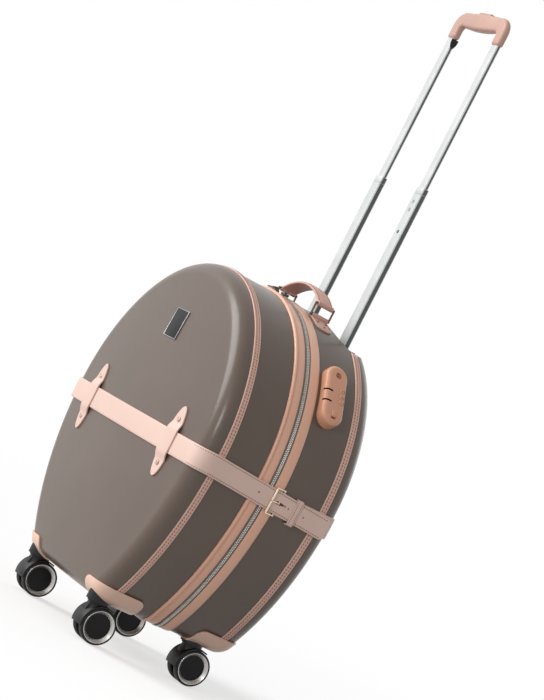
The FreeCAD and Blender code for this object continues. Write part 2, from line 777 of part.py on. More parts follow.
caster_plates("front_caster_plates", guards_lid_form, "-front_caster_setback")
caster_plates("rear_caster_plates", guards_rear_form, "rear_caster_setback")


def caster(corner, x, y):
    """The fork, the wheel hubs on their axle and the two tyres of one caster."""
    web = new_body(f"{corner}_fork_web")
    outline = [("-turntable_radius * 0.8", TURNTABLE_BOTTOM), ("-turntable_radius", "wheel_radius * 1.6"),
               ("caster_trail - axle_radius * 3", "wheel_radius - axle_radius * 2"),
               ("caster_trail + axle_radius", "wheel_radius - axle_radius * 3"),
               ("caster_trail + axle_radius * 3", "wheel_radius"),
               ("turntable_radius", TURNTABLE_BOTTOM)]
    pad(web, body_sketch(web, f"{corner}_web_outline", "YZ_Plane", outline), "fork_half_width * 2", True)
    disc = cylinder(f"{corner}_turntable", ("0", "0", TURNTABLE_BOTTOM), (0, 0, 1), "turntable_radius",
                    "turntable_thickness")
    stem = cylinder(f"{corner}_stem", ("0", "0", TURNTABLE_BOTTOM), (0, 0, 1), "stem_radius",
                    f"({PLATE_TOP}) - ({TURNTABLE_BOTTOM}) - swivel_gap")
    bore = cylinder(f"{corner}_axle_bore", ("-fork_half_width * 2", "caster_trail", "wheel_radius"), (1, 0, 0),
                    "axle_radius + running_gap", "fork_half_width * 4")
    rim = "wheel_radius + hood_gap"
    lean = math.radians(size("hood_start"))
    shield = cylinder(f"{corner}_shield", ("-hood_half_width", "caster_trail", "wheel_radius"), (1, 0, 0),
                      f"{rim} + hood_thickness", "hood_half_width * 2", "hood_sector",
                      Vector(0, math.cos(lean), math.sin(lean)))
    neck = cylinder(f"{corner}_neck", ("0", "0", "wheel_radius"), (0, 0, 1), "neck_radius",
                    f"({TURNTABLE_BOTTOM}) - wheel_radius")
    wheel_room = cylinder(f"{corner}_wheel_room", ("-hood_half_width * 2", "caster_trail", "wheel_radius"),
                          (1, 0, 0), rim, "hood_half_width * 4")
    hood = cut(f"{corner}_hood", fuse(f"{corner}_hood_blank", shield, neck), wheel_room)
    fork = cut(f"{corner}_caster_fork", fuse(f"{corner}_fork_blank", web, disc, stem, hood), bore)
    node(f"{corner}_caster_fork", place(fork, x, y, "0"))

    face = "tyre_outer_face"
    dish = f"({face} - hub_recess)"
    hubs = new_body(f"{corner}_wheel_hubs")
    hub_profile = [(f"-{dish}", "0"), (f"-{dish}", "ring_radius - 1"), (f"-{face}", "ring_radius"),
                   (f"-{face}", "rim_radius"), ("-tyre_inner_face", "rim_radius"),
                   ("-tyre_inner_face", "axle_radius"), ("tyre_inner_face", "axle_radius"),
                   ("tyre_inner_face", "rim_radius"), (face, "rim_radius"), (face, "ring_radius"),
                   (dish, "ring_radius - 1"), (dish, "0")]
    revolve(hubs, body_sketch(hubs, f"{corner}_hub_profile", "XY_Plane", hub_profile), "H_Axis")
    node(f"{corner}_wheel_hubs", place(hubs, x, f"({y}) + caster_trail", "wheel_radius"))

    tyres = new_body(f"{corner}_tyres")
    profiles = []
    for sign in ("-", ""):
        profiles.append([(f"{sign}tyre_inner_face", "rim_radius"),
                         (f"{sign}tyre_inner_face", "wheel_radius - 1.5"),
                         (f"{sign}(tyre_inner_face + 1.5)", "wheel_radius"),
                         (f"{sign}(tyre_outer_face - 2)", "wheel_radius"),
                         (f"{sign}tyre_outer_face", "wheel_radius - 2"),
                         (f"{sign}tyre_outer_face", "rim_radius")])
    revolve(tyres, body_sketch(tyres, f"{corner}_tyre_profiles", "XY_Plane", *profiles), "H_Axis")
    node(f"{corner}_tyres", place(tyres, x, f"({y}) + caster_trail", "wheel_radius"))


for corner, x, y in (("front_left", f"-({CASTER_SPREAD})", "-front_caster_setback"),
                     ("front_right", CASTER_SPREAD, "-front_caster_setback"),
                     ("rear_left", f"-({CASTER_SPREAD})", "rear_caster_setback"),
                     ("rear_right", CASTER_SPREAD, "rear_caster_setback")):
    caster(corner, x, y)

# Trolley

hollow_tubes("base_tubes", "base_tube_bottom", FLOOR_OF_RECESS, "base_tube_width", "base_tube_depth",
             "base_tube_wall")
hollow_tubes("middle_tubes", "middle_tube_bottom", "middle_tube_top", "middle_tube_width", "middle_tube_depth",
             "middle_tube_wall")
SOCKET_TOP = "grip_leg_bottom + tube_socket_depth"
hollow_tubes("inner_tubes", "inner_tube_bottom", SOCKET_TOP, "inner_tube_width", "inner_tube_depth",
             "inner_tube_wall")
node("middle_collars", tube_pair("middle_collars", "middle_tube_top", "middle_tube_top + collar_height",
                                 *tube_sections("middle_tube_width", "middle_tube_depth"),
                                 *tube_sections("inner_tube_width", "inner_tube_depth", "swivel_gap / 2")))

BEZEL_END = "tube_half_spacing + base_tube_width / 2 + bezel_margin"
bezel_block = box("bezel_block", (f"-({BEZEL_END})", f"{TUBE_SETBACK} - base_tube_depth", FLOOR_OF_RECESS),
                  (BEZEL_END, f"{TUBE_SETBACK} + base_tube_depth", f"{FLOOR_OF_RECESS} + bezel_height"))
bezel_holes = tube_pair("bezel_holes", "base_tube_bottom", f"{FLOOR_OF_RECESS} + bezel_height + wall",
                        *tube_sections("middle_tube_width", "middle_tube_depth", "swivel_gap"))
node("trolley_bezel", cut("trolley_bezel", common("bezel_blank", bezel_block, trolley_recess), bezel_holes))

FOOT_END = "tube_half_spacing + base_tube_width / 2 + wall + wall"
foot_block = box("foot_block",
                 (f"-({FOOT_END})", "rear_depth - false_back + lining_gap", "base_tube_bottom - foot_height"),
                 (FOOT_END, "rear_depth - wall", "base_tube_bottom + foot_seat"))
node("tube_foot", cut("tube_foot", foot_block, tube_holes))

grip_body = new_body("grip_body")
inner_leg = "grip_half_width - grip_leg_width"
grip_outline = [("-grip_half_width", "grip_leg_bottom"), (f"-({inner_leg})", "grip_leg_bottom"),
                (f"-({inner_leg})", "grip_underside"), (inner_leg, "grip_underside"),
                (inner_leg, "grip_leg_bottom"), ("grip_half_width", "grip_leg_bottom"),
                ("grip_half_width", "grip_top"), ("-grip_half_width", "grip_top")]
grip_pad = pad(grip_body, body_sketch(grip_body, "grip_outline", "XZ_Plane", grip_outline), "grip_depth", True)


def is_grip_corner(edge):
    """Whether an edge of the grip is one of its two upper corners."""
    return runs_along(edge, "y") and edge.CenterOfMass.z > amount("grip_top") - 0.01


def is_grip_rim(edge):
    """Whether an edge of the grip lies on its front or back face."""
    flat = edge.BoundBox.YLength < 0.01
    return flat and abs(abs(edge.CenterOfMass.y) - amount("grip_depth / 2")) < 0.01


grip_cornered = soften(grip_body, grip_pad, is_grip_corner, "grip_corner")
soften(grip_body, grip_cornered, is_grip_rim, "grip_rounding")
place(grip_body, "0", TUBE_SETBACK, "0")
grip_sockets = tube_pair("grip_sockets", "grip_leg_bottom - wall", SOCKET_TOP,
                         *tube_sections("inner_tube_width", "inner_tube_depth"))
BUTTON_TOP = "grip_top + button_proud"
BUTTON_BOTTOM = f"{BUTTON_TOP} - button_height"
BAR_BOTTOM = f"{BUTTON_BOTTOM} - release_arm"
button_well = box("button_well",
                  ("-button_half_length - button_gap", f"{TUBE_SETBACK} - button_half_width - button_gap",
                   f"{BUTTON_BOTTOM} - button_proud"),
                  ("button_half_length + button_gap", f"{TUBE_SETBACK} + button_half_width + button_gap",
                   "grip_top + wall"))
BAR_REACH = "tube_half_spacing + release_rod_radius"
channel = box("channel", (f"-({BAR_REACH}) - button_gap", f"{TUBE_SETBACK} - release_arm",
                          f"{BAR_BOTTOM} - button_proud - button_gap"),
              (f"{BAR_REACH} + button_gap", f"{TUBE_SETBACK} + release_arm", f"{BUTTON_BOTTOM} + button_gap"))
rod_wells = []
rods = []
for side, sign in (("left", "-"), ("right", "")):
    foot = (f"{sign}tube_half_spacing", TUBE_SETBACK, "release_rod_bottom")
    rods.append(cylinder(f"{side}_release_rod", foot, (0, 0, 1), "release_rod_radius",
                         f"({BAR_BOTTOM}) - release_rod_bottom + release_arm / 2"))
    rod_wells.append(cylinder(f"{side}_rod_well", foot, (0, 0, 1), "release_rod_radius + button_gap",
                              f"({BAR_BOTTOM}) - release_rod_bottom"))
grip_hollows = fuse("grip_hollows", grip_sockets, button_well, channel, *rod_wells)
node("trolley_grip", cut("trolley_grip", grip_body, grip_hollows))
button_block = box("button_block",
                   ("-button_half_length", f"{TUBE_SETBACK} - button_half_width", BUTTON_BOTTOM),
                   ("button_half_length", f"{TUBE_SETBACK} + button_half_width", BUTTON_TOP))


def is_button_top(edge):
    """Whether an edge lies on the button's upper face."""
    return edge.BoundBox.ZMin > amount(BUTTON_TOP) - 0.01


node("grip_button", rounded("grip_button", button_block, is_button_top, "button_proud / 2"))
cross_bar = box("cross_bar", (f"-({BAR_REACH})", f"{TUBE_SETBACK} - release_rod_radius", BAR_BOTTOM),
                (BAR_REACH, f"{TUBE_SETBACK} + release_rod_radius", BUTTON_BOTTOM))
node("release_bar", fuse("release_bar", cross_bar, *rods))

# Carry handle: two wire loops in chapes, and an arched grip


def rod_between(name, start, end, radius):
    """A round bar between two points."""
    run = Vector(*end) - Vector(*start)
    direction = (run.x / run.Length, run.y / run.Length, run.z / run.Length)
    return cylinder(name, start, direction, radius, run.Length)


def wire_loop(name, corners, radius):
    """A closed loop of round wire through its corners."""
    pieces = []
    for i, corner in enumerate(corners):
        pieces.append(rod_between(f"{name}_bar_{i}", corner, corners[(i + 1) % len(corners)], radius))
        ball = doc.addObject("Part::Sphere", f"{name}_ball_{i}")
        place(ball, *corner)
        ball.setExpression("Radius", bound(radius))
        pieces.append(ball)
    return fuse(name, *pieces)


span = size("handle_half_span")
knuckle_reach = amount("outline_radius + knuckle_radius")
low_bar = size("centre_height") + math.sqrt(knuckle_reach ** 2 - span ** 2)
high_bar = low_bar + size("loop_height")
arch_centre = high_bar - math.sqrt(size("handle_arch_radius") ** 2 - span ** 2)
half_loop = amount("loop_width / 2 - loop_bar_radius")
near_bar = size("handle_setback") - half_loop
far_bar = size("handle_setback") + half_loop
for side, sign in (("left", -1), ("right", 1)):
    loop_corners = [(sign * span, near_bar, low_bar), (sign * span, far_bar, low_bar),
                    (sign * span, far_bar, high_bar), (sign * span, near_bar, high_bar)]
    node(f"{side}_handle_loop", wire_loop(f"{side}_handle_loop", loop_corners, "loop_bar_radius"))


def drum_direction(angle):
    """The direction from the drum's axis that leans from the top towards +X by an angle in degrees."""
    return Vector(math.sin(math.radians(angle)), 0, math.cos(math.radians(angle)))


def arc_strip(name, centre, inner, outer, start, sector, near, width):
    """A strip bent round an axis along Y, from a start angle over a sector."""
    first = drum_direction(start)
    thick = cylinder(name + "_outer", (centre[0], near, centre[1]), (0, 1, 0), outer, width, sector, first)
    core = cylinder(name + "_inner", (centre[0], near, centre[1]), (0, 1, 0), inner, width)
    return cut(name, thick, core)


def knuckle(name, x, z, width):
    """A round leather fold about a bar along Y, and the hole for the bar."""
    near = f"handle_setback - {width} / 2"
    barrel = cylinder(name + "_barrel", (x, near, z), (0, 1, 0), "knuckle_radius", width)
    hole = cylinder(name + "_hole", (x, near, z), (0, 1, 0), "loop_bar_radius + running_gap", width)
    return barrel, hole


knuckle_angle = math.degrees(math.asin(span / knuckle_reach))
chape_barrel, chape_hole = knuckle("chape", span, low_bar, "chape_width")
chape_strip = arc_strip("chape_strip", ("0", "centre_height"), "outline_radius",
                        "outline_radius + chape_thickness", knuckle_angle, "chape_length_angle",
                        "handle_setback - chape_width / 2", "chape_width")
tongue_end = drum_direction(knuckle_angle + size("chape_length_angle"))


def is_tongue_corner(edge):
    """Whether an edge is one of the two short corners at a chape's free end."""
    return isinstance(edge.Curve, Part.Line) and abs(edge.Curve.Direction.dot(tongue_end)) > 0.999


tongue = rounded("chape_tongue", chape_strip, is_tongue_corner, "chape_width / 2 - chape_thickness")
right_chape = cut("right_chape", fuse("right_chape_blank", chape_barrel, tongue), chape_hole)
node("handle_chapes", group("handle_chapes", right_chape, mirrored("left_chape", right_chape)))

arch_angle = math.degrees(math.asin(span / size("handle_arch_radius")))
arch = arc_strip("handle_arch", ("0", arch_centre), "handle_arch_radius - handle_thickness / 2",
                 "handle_arch_radius + handle_thickness / 2", -arch_angle, 2 * arch_angle,
                 "handle_setback - handle_width / 2", "handle_width")
handle_folds = [knuckle(f"{side}_fold", sign * span, high_bar, "handle_width")
                for side, sign in (("left", -1), ("right", 1))]
handle_blank = fuse("handle_blank", arch, *[barrel for barrel, hole in handle_folds])
fold_holes = fuse("fold_holes", *[hole for barrel, hole in handle_folds])
node("carry_handle", cut("carry_handle", handle_blank, fold_holes))

chape_studs = []
for i, (along, across) in enumerate(((0.75, "0"), (0.4, "-chape_width / 4"), (0.4, "chape_width / 4"))):
    toward = drum_direction(knuckle_angle + along * size("chape_length_angle"))
    root = amount("outline_radius + chape_thickness")
    seat = (toward.x * root, f"handle_setback + {across}", toward.z * root + size("centre_height"))
    stud = cylinder(f"chape_stud_{i}", seat, (toward.x, 0, toward.z), "stud_radius", "stud_head")
    chape_studs.extend([stud, mirrored(f"chape_stud_left_{i}", stud)])
node("chape_rivets", group("chape_rivets", *chape_studs))

# Lock, built at the top of the drum and turned down to its place


def on_drum(item, setback, angle):
    """Turns a piece that was built about the drum's axis to its place round the drum."""
    return place(item, "0", setback, "centre_height", Rotation(Vector(0, 1, 0), amount(angle)))


LOCK_TOP = "outline_radius + lock_height"
LOCK_ROOT = "outline_radius - lock_rounding"
lock_end = "lock_half_length - lock_half_width"
lock_bar = box("lock_bar", (f"-({lock_end})", "-lock_half_width", LOCK_ROOT),
               (lock_end, "lock_half_width", LOCK_TOP))
lock_ends = [cylinder(f"lock_end_{i}", (f"{sign}({lock_end})", "0", LOCK_ROOT), (0, 0, 1), "lock_half_width",
                      "lock_height + lock_rounding") for i, sign in enumerate(("-", ""))]
lock_blank = fuse("lock_blank", lock_bar, *lock_ends)
doc.recompute()
lock_round = rounded("lock_round", lock_blank, lambda edge: edge.BoundBox.ZMin > amount(LOCK_TOP) - 0.01,
                     "lock_rounding")
drum = cylinder("lock_drum", ("0", "-lock_half_width * 2", "0"), (0, 1, 0), "outline_radius",
                "lock_half_width * 4")
DIGITS = 10
DIAL_AXIS = "outline_radius + lock_height + dial_proud - dial_radius"
lock_hollows = [drum]
for i, name in enumerate(("first", "second", "third")):
    start = f"{i - 1} * dial_pitch - dial_thickness / 2"
    dial = doc.addObject("Part::Prism", f"{name}_dial")
    dial.Polygon = DIGITS
    dial.setExpression("Circumradius", bound("dial_radius"))
    dial.setExpression("Height", bound("dial_thickness"))
    place(dial, start, "dial_offset", DIAL_AXIS, Rotation(Vector(0, 0, 1), Vector(1, 0, 0)))
    node(f"{name}_lock_dial", on_drum(group(f"{name}_lock_dial", dial), "lock_setback", "lock_angle"))
    well_foot = (f"{start} - dial_gap", "dial_offset", DIAL_AXIS)
    lock_hollows.append(cylinder(f"{name}_dial_well", well_foot, (1, 0, 0), "dial_radius + dial_gap",
                                 "dial_thickness + dial_gap * 2"))
plug_foot = ("-key_plug_shift", "0", "outline_radius + key_plug_sunk")
plug = cylinder("plug", plug_foot, (0, 0, 1), "key_plug_radius", "lock_height - key_plug_sunk * 2")
keyway = box("keyway",
             ("-key_plug_shift - keyway_width / 2", "-key_plug_radius / 2", "outline_radius + lock_height / 2"),
             ("-key_plug_shift + keyway_width / 2", "key_plug_radius / 2", LOCK_TOP))
node("key_plug", on_drum(cut("key_plug", plug, keyway), "lock_setback", "lock_angle"))
lock_hollows.append(cylinder("plug_well", ("-key_plug_shift", "0", "outline_radius"), (0, 0, 1),
                             "key_plug_radius + running_gap", "lock_height * 2"))
for i, shift in enumerate(("-pull_slot_near", "pull_slot_far")):
    low = (f"{shift} - pull_slot_width / 2", "-lock_half_width * 2", "outline_radius + lock_height / 2")
    high = (f"{shift} + pull_slot_width / 2", "-lock_half_width + pull_slot_depth", f"{LOCK_TOP} + wall")
    lock_hollows.append(box(f"pull_slot_{i}", low, high))
BUTTON_SHIFT = "key_plug_shift - lock_button_length / 2"
BUTTON_FLOOR = "outline_radius + lock_height - lock_rounding"
BUTTON_CROWN = f"{LOCK_TOP} + lock_button_proud"
latch = box("latch", (BUTTON_SHIFT, "-lock_button_width / 2", BUTTON_FLOOR),
            (f"{BUTTON_SHIFT} + lock_button_length", "lock_button_width / 2", BUTTON_CROWN))
node("lock_button", on_drum(group("lock_button", latch), "lock_setback", "lock_angle"))
lock_hollows.append(box("latch_well",
                        (f"{BUTTON_SHIFT} - button_gap", "-lock_button_width / 2 - button_gap", BUTTON_FLOOR),
                        (f"{BUTTON_SHIFT} + lock_button_length + lock_button_travel + button_gap",
                         "lock_button_width / 2 + button_gap", f"{LOCK_TOP} + wall")))
lock_body = cut("lock_body", lock_round, fuse("lock_hollows", *lock_hollows))
node("lock_body", on_drum(lock_body, "lock_setback", "lock_angle"))

# Zip sliders with their pulls

SLIDER_FOOT = "outline_radius + teeth_height + slider_gap"
SLIDER_TOP = f"{SLIDER_FOOT} + slider_height"
PIN_HEIGHT = f"{SLIDER_TOP} + pull_pin_radius * 2.2"
for side, sign in (("left", "-"), ("right", "")):
    block = box(f"{side}_slider_block", ("-slider_length / 2", "-slider_width / 2", SLIDER_FOOT),
                ("slider_length / 2", "slider_width / 2", SLIDER_TOP))
    wedge = rounded(f"{side}_slider_wedge", block, lambda edge: runs_along(edge, "z"), "slider_width / 4")
    lug = box(f"{side}_lug", ("-pull_pin_radius * 2", "-lug_half_width", SLIDER_TOP),
              ("pull_pin_radius * 2", "lug_half_width", f"{PIN_HEIGHT} + pull_pin_radius * 2"))
    eye = cylinder(f"{side}_lug_eye", ("0", "-slider_width", PIN_HEIGHT), (0, 1, 0),
                   "pull_pin_radius + running_gap", "slider_width * 2")
    slider = cut(f"{side}_zip_slider", fuse(f"{side}_slider_blank", wedge, lug), eye)
    node(f"{side}_zip_slider", on_drum(slider, "0", f"{sign}slider_angle"))
    ear_start = "lug_half_width + button_gap"
    ears = [box(f"{side}_ear_{i}", ("-pull_pin_radius * 1.2", low, f"{PIN_HEIGHT} - pull_pin_radius * 1.4"),
                ("pull_pin_radius * 5", high, f"{PIN_HEIGHT} + pull_pin_radius * 1.4"))
            for i, (low, high) in enumerate((("-pull_half_width", f"-({ear_start})"),
                                             (ear_start, "pull_half_width")))]
    blade = box(f"{side}_blade",
                ("pull_pin_radius * 3", "-pull_half_width", f"{PIN_HEIGHT} - pull_thickness / 2"),
                ("pull_length", "pull_half_width", f"{PIN_HEIGHT} + pull_thickness / 2"))
    tab = rounded(f"{side}_tab", blade,
                  lambda edge: runs_along(edge, "z") and edge.CenterOfMass.x > amount("pull_length") - 0.01,
                  "pull_half_width - pull_pin_radius")
    pin = cylinder(f"{side}_pull_pin", ("0", "-pull_half_width", PIN_HEIGHT), (0, 1, 0), "pull_pin_radius",
                   "pull_half_width * 2")
    pull = fuse(f"{side}_pull_form", tab, pin, *ears)
    if side == "left":
        pull = mirrored("left_pull_turned", pull)
    node(f"{side}_zip_pull", on_drum(group(f"{side}_zip_pull", pull), "0", f"{sign}slider_angle"))

# Buckle, prong and strap loop on the right side


def on_side(item, height):
    """Seats a piece that was built flat on the right band, at a height on its side arc."""
    lean = math.asin((size("centre_height") - height) / size("side_radius"))
    x = amount("outline_radius - side_radius") + size("side_radius") * math.cos(lean)
    return place(item, x, "0", height, Rotation(Vector(0, 1, 0), 90 + math.degrees(lean)))


half_width = size("buckle_half_width")
heel_height = amount("prong_ring_radius + running_gap * 2")
front_height = amount("strap_lift + strap_thickness + under_strap_gap + buckle_bar_radius")
front_bar = size("buckle_front")
heel_bar = size("buckle_heel")
bend_bar = amount("rear_trim_reach + buckle_bar_radius")
bend_height = amount("trim_thickness + buckle_bar_radius * 2")
buckle_side = [(front_bar, front_height), (bend_bar, bend_height), (heel_bar, heel_height)]
buckle_corners = [(half_width, y, z) for y, z in buckle_side]
buckle_corners += [(-half_width, y, z) for y, z in reversed(buckle_side)]
node("buckle_frame", on_side(wire_loop("buckle_frame", buckle_corners, "buckle_bar_radius"), BUCKLE_HEIGHT))

prong_path = [(0, heel_bar, heel_height), (0, bend_bar, bend_height),
              (0, amount("buckle_front - buckle_bar_radius * 1.5"),
               front_height + amount("buckle_bar_radius * 1.9 + prong_radius"))]
prong_rods = [rod_between(f"prong_rod_{i}", prong_path[i], prong_path[i + 1], "prong_radius") for i in (0, 1)]
prong_bend = doc.addObject("Part::Sphere", "prong_bend")
place(prong_bend, *prong_path[1])
prong_bend.setExpression("Radius", bound("prong_radius"))
prong_ring = cylinder("prong_ring", ("-prong_radius * 1.5", "buckle_heel", heel_height), (1, 0, 0),
                      "prong_ring_radius", "prong_radius * 3")
prong_eye = cylinder("prong_eye", ("-buckle_half_width / 2", "buckle_heel", heel_height), (1, 0, 0),
                     "buckle_bar_radius + running_gap", "buckle_half_width")
prong = cut("buckle_prong", fuse("prong_blank", *prong_rods, prong_bend, prong_ring), prong_eye)
node("buckle_prong", on_side(prong, BUCKLE_HEIGHT))

LOOP_TOP = "strap_lift + strap_thickness + under_strap_gap"
LOOP_HALF = "strap_width / 2 + strap_loop_thickness"
loop_outside = box("loop_outside", (f"-({LOOP_HALF}) - strap_loop_thickness", "strap_loop_start", "0"),
                   (f"{LOOP_HALF} + strap_loop_thickness", "strap_loop_start + strap_loop_width",
                    f"{LOOP_TOP} + strap_loop_thickness"))
loop_inside = box("loop_inside", (f"-({LOOP_HALF})", "0", "-wall"), (LOOP_HALF, "rear_depth", LOOP_TOP))
strap_loop = cut("strap_loop", loop_outside, loop_inside)
node("strap_loop", on_side(strap_loop, strap_middle("strap_loop_start + strap_loop_width / 2")))

# Checks and export

doc.recompute()
for item in doc.Objects:
    if "Invalid" in item.State or "Error" in item.State:
        raise RuntimeError(f"{item.Name} failed: {item.getStatusString()}")
for item in nodes:
    if item.Shape.isNull() or not item.Shape.isValid() or not item.Shape.Solids:
        raise RuntimeError(f"{item.Label} has no sound shape")

os.makedirs("parts", exist_ok=True)
for item in nodes:
    item.Shape.exportStep(os.path.join("parts", f"{item.Label}.step"))
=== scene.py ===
"""Looks of a round-topped travel case on four casters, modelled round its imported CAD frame.

Pieces are modelled in millimetres, in the CAD frame, and scaled to metres when they are finished.
"""
import json
import logging
import math
from dataclasses import dataclass
from enum import Enum
from typing import Callable, ClassVar, Iterable, Optional, Sequence

import bmesh
import bpy
from mathutils import Matrix, Quaternion, Vector

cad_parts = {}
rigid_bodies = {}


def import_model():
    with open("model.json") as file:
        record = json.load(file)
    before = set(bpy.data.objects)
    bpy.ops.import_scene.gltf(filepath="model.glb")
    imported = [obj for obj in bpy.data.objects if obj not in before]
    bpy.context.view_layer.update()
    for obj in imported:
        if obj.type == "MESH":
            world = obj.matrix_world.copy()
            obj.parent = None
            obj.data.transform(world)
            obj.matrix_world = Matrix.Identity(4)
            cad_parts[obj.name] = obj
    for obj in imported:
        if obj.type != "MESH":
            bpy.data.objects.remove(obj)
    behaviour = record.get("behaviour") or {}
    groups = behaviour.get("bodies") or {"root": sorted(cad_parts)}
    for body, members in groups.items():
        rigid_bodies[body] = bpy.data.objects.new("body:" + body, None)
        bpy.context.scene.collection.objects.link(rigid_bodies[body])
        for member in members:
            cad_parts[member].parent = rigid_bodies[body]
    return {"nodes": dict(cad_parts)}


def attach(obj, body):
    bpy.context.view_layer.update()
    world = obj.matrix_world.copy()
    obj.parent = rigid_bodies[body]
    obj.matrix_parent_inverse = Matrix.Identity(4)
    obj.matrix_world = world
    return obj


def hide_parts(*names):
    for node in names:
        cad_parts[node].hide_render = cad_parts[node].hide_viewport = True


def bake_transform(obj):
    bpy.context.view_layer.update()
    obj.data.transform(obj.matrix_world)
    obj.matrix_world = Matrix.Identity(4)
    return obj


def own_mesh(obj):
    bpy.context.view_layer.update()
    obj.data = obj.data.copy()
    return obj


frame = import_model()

Piece = bpy.types.Object
Socket = bpy.types.NodeSocket
Point = tuple[float, float, float]
Section = Sequence[tuple[float, float]]

LOG = logging.getLogger("suitcase")
MM = 0.001
MERGE_GAP = 0.002
SQUARE = 0.9
QUARTER_TURN = math.pi / 2.0
FULL_TURN = 2.0 * math.pi
ORIGIN = (0.0, 0.0, 0.0)
RIGHT_AXIS = (1.0, 0.0, 0.0)
BACK_AXIS = (0.0, 1.0, 0.0)
FORWARD_AXIS = (0.0, -1.0, 0.0)
UP_AXIS = (0.0, 0.0, 1.0)
FACING_FRONT = (QUARTER_TURN, 0.0, 0.0)
FACING_SIDE = (0.0, QUARTER_TURN, 0.0)
BOTH = (-1.0, 1.0)
WIDE_BAND = (0.3, 0.7)
NARROW_BAND = (0.35, 0.65)


class Half(Enum):
    """The two halves of the case: the label of each half's pieces and the body that they ride on."""

    LID = ("lid", "lid")
    REAR = ("rear", "rear_case")


class Side(Enum):
    """The two sides of the case: the label of each and its sign along X."""

    LEFT = ("left", -1.0)
    RIGHT = ("right", 1.0)


class Corner(Enum):
    """The four casters, with the place of each swivel axis in millimetres."""

    FRONT_LEFT = ("front_left", -112.0, -90.0)
    FRONT_RIGHT = ("front_right", 112.0, -90.0)
    REAR_LEFT = ("rear_left", -112.0, 64.0)
    REAR_RIGHT = ("rear_right", 112.0, 64.0)


class Part(Enum):
    """What is selected in edit mode: the name of the mode and of the mesh's own list."""

    VERTICES = ("VERT", "verts")
    EDGES = ("EDGE", "edges")
    FACES = ("FACE", "faces")


class Run(Enum):
    """The way that a stitch lies: its axis, and the turn that lays a cylinder along it."""

    SIDEWAYS = (RIGHT_AXIS, FACING_SIDE)
    BACKWARDS = (BACK_AXIS, FACING_FRONT)


def clamp(value: float) -> float:
    """A value held between 0 and 1."""
    return min(1.0, max(0.0, value))


def ease(share: float) -> float:
    """A share from 0 to 1 with a soft start and a soft end."""
    return share * share * (3.0 - 2.0 * share)


def mirrored(points: Section) -> list[tuple[float, float]]:
    """A run of points that ends in the middle, with its mirror image after it."""
    return [*points, *((-across, out) for across, out in reversed(points[:-1]))]


def faces_front(face: bmesh.types.BMFace) -> bool:
    """Whether a face looks to the front."""
    return face.normal.y < -SQUARE


def is_open(edge: bmesh.types.BMEdge) -> bool:
    """Whether an edge lies at the rim of an opening."""
    return edge.is_boundary


def linked(name: str, data: bpy.types.ID) -> Piece:
    """Puts data into the scene as a new object.

    Args:
        name: The name of the object.
        data: Its mesh, lamp or lens.

    Returns:
        The new object.
    """
    holder = bpy.data.objects.new(name, data)
    bpy.context.scene.collection.objects.link(holder)
    return holder


